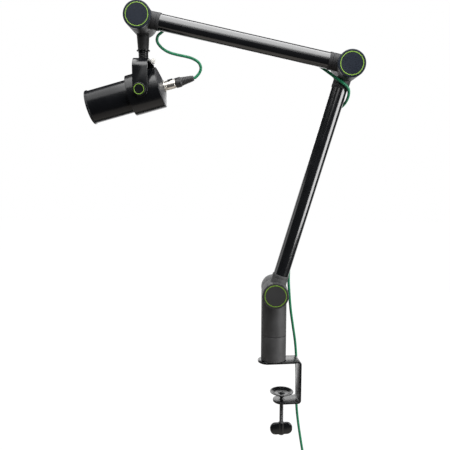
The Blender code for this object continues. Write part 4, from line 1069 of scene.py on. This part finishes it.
def hank_points(top):
    """The route of the cable that is wound up: three turns inside, three round them, and the tail."""
    middle = hank_middle()
    pitch = 2 * CABLE_RADIUS
    inner = HANK_RADIUS - 1.5 * pitch - 0.25
    straight = HANK_LENGTH / 2 - HANK_RADIUS
    points = [top, top + Vector((-2.0, 0, -8.0))]
    turns, steps = 3, 16
    for layer, (radius, direction) in enumerate(((inner, 1), (inner + pitch, -1))):
        for k in range(turns * steps + 1):
            share = k / steps
            if layer == 0 and k < 2:
                continue
            across, down = racetrack(share % 1.0, radius, straight)
            depth = direction * (share * pitch - 1.5 * pitch)
            points.append(middle + Vector((across, depth, down)))
    end = middle + Vector((-HANK_TAIL, -HANK_FRONT_TURN, 0))
    points = points[:-1]
    points += [end + Vector((0, 0, -z)) for z in (2, 20, 40, HANK_LENGTH / 2 - FIT)]
    return points


def racetrack(share, radius, straight):
    """A point of a loop with two straight sides, from the middle of the left one and downwards."""
    whole = 4 * straight + math.tau * radius
    walked = share * whole
    for length in (straight, math.pi * radius, 2 * straight, math.pi * radius, straight):
        if walked <= length + 1e-9:
            break
        walked -= length
    if length == straight:
        down = walked if share < 0.5 else walked - straight
        return -radius, -down
    if length == 2 * straight:
        return radius, walked - straight
    angle = walked / radius
    if share < 0.5:
        return -radius * math.cos(angle), -straight - radius * math.sin(angle)
    return radius * math.cos(angle), straight + radius * math.sin(angle)


def make_plug(top):
    """The three-pin plug at the end of the lead, hanging from it."""
    at = shift(*top) @ shift(0, 0, -FIT)
    boot = [(0, 0), (4.2, 0)]
    ribs = 7
    for i in range(ribs):
        z, r = -1.5 - 3.1 * i, 4.6 + (SHELL_RADIUS - 5.6) * i / ribs
        boot += [(r, z), (r + 0.15, z - 1.9), (r - 0.7, z - 2.1), (r - 0.7, z - 2.9)]
    boot += [(SHELL_RADIUS - 1, -24), (SHELL_RADIUS, -25.5), (SHELL_RADIUS, -33), (0, -33)]
    boot = turned(softened(boot, 0.3, 2), SMALL)
    boot_piece = piece("plug_boot", boot, at, "clamp", "nickel", look="rubber")
    shell = [
        (0, -33.3), (SHELL_RADIUS, -33.3), (SHELL_RADIUS, -50.4), (SHELL_RADIUS - 0.3, -51),
        (7.9, -51.6), (7.9, -66), (7.2, -66), (7.2, -54), (0, -54),
    ]
    contacts = pins(joined, 1.2, -63, -53)
    shell = turned(softened(shell, 0.3))
    shell_piece = piece("plug_shell", shell, at, "clamp", "nickel", ["xlr_plug"], steps=contacts)
    return [boot_piece, shell_piece]


def make_tie():
    """A hook-and-loop strap round the middle of the hank."""
    pitch = 2 * CABLE_RADIUS
    width, depth = 2 * (HANK_RADIUS - 0.2), 4 * pitch + 0.6
    outer = rounded_rectangle(width + 2.4, depth + 2.4, 4.0)
    inner = rounded_rectangle(width, depth, 2.8)
    band = hollow_bar(outer, inner, -8, 8)
    return piece("hank_tie", band, shift(*hank_middle()), "clamp", "rubber", look="tie", bevel=0.35)


# ---------- what stays of the CAD model


def dress_cad_nodes():
    """Finished materials for the CAD nodes that stay, inside the arms and the microphone."""
    for entry in frame["record"]["subparts"]:
        node = frame["nodes"][entry["node"]]
        if node.hide_render:
            continue
        node.data.materials.clear()
        node.data.materials.append(LOOKS[entry["material_slot"]])


make_camera()
make_stage()
make_cables()
make_clamp()
make_clamp_screw()
make_post()
make_arms()
make_neck()
make_yoke()
make_knobs()
make_microphone()
make_connector()
dress_cad_nodes()
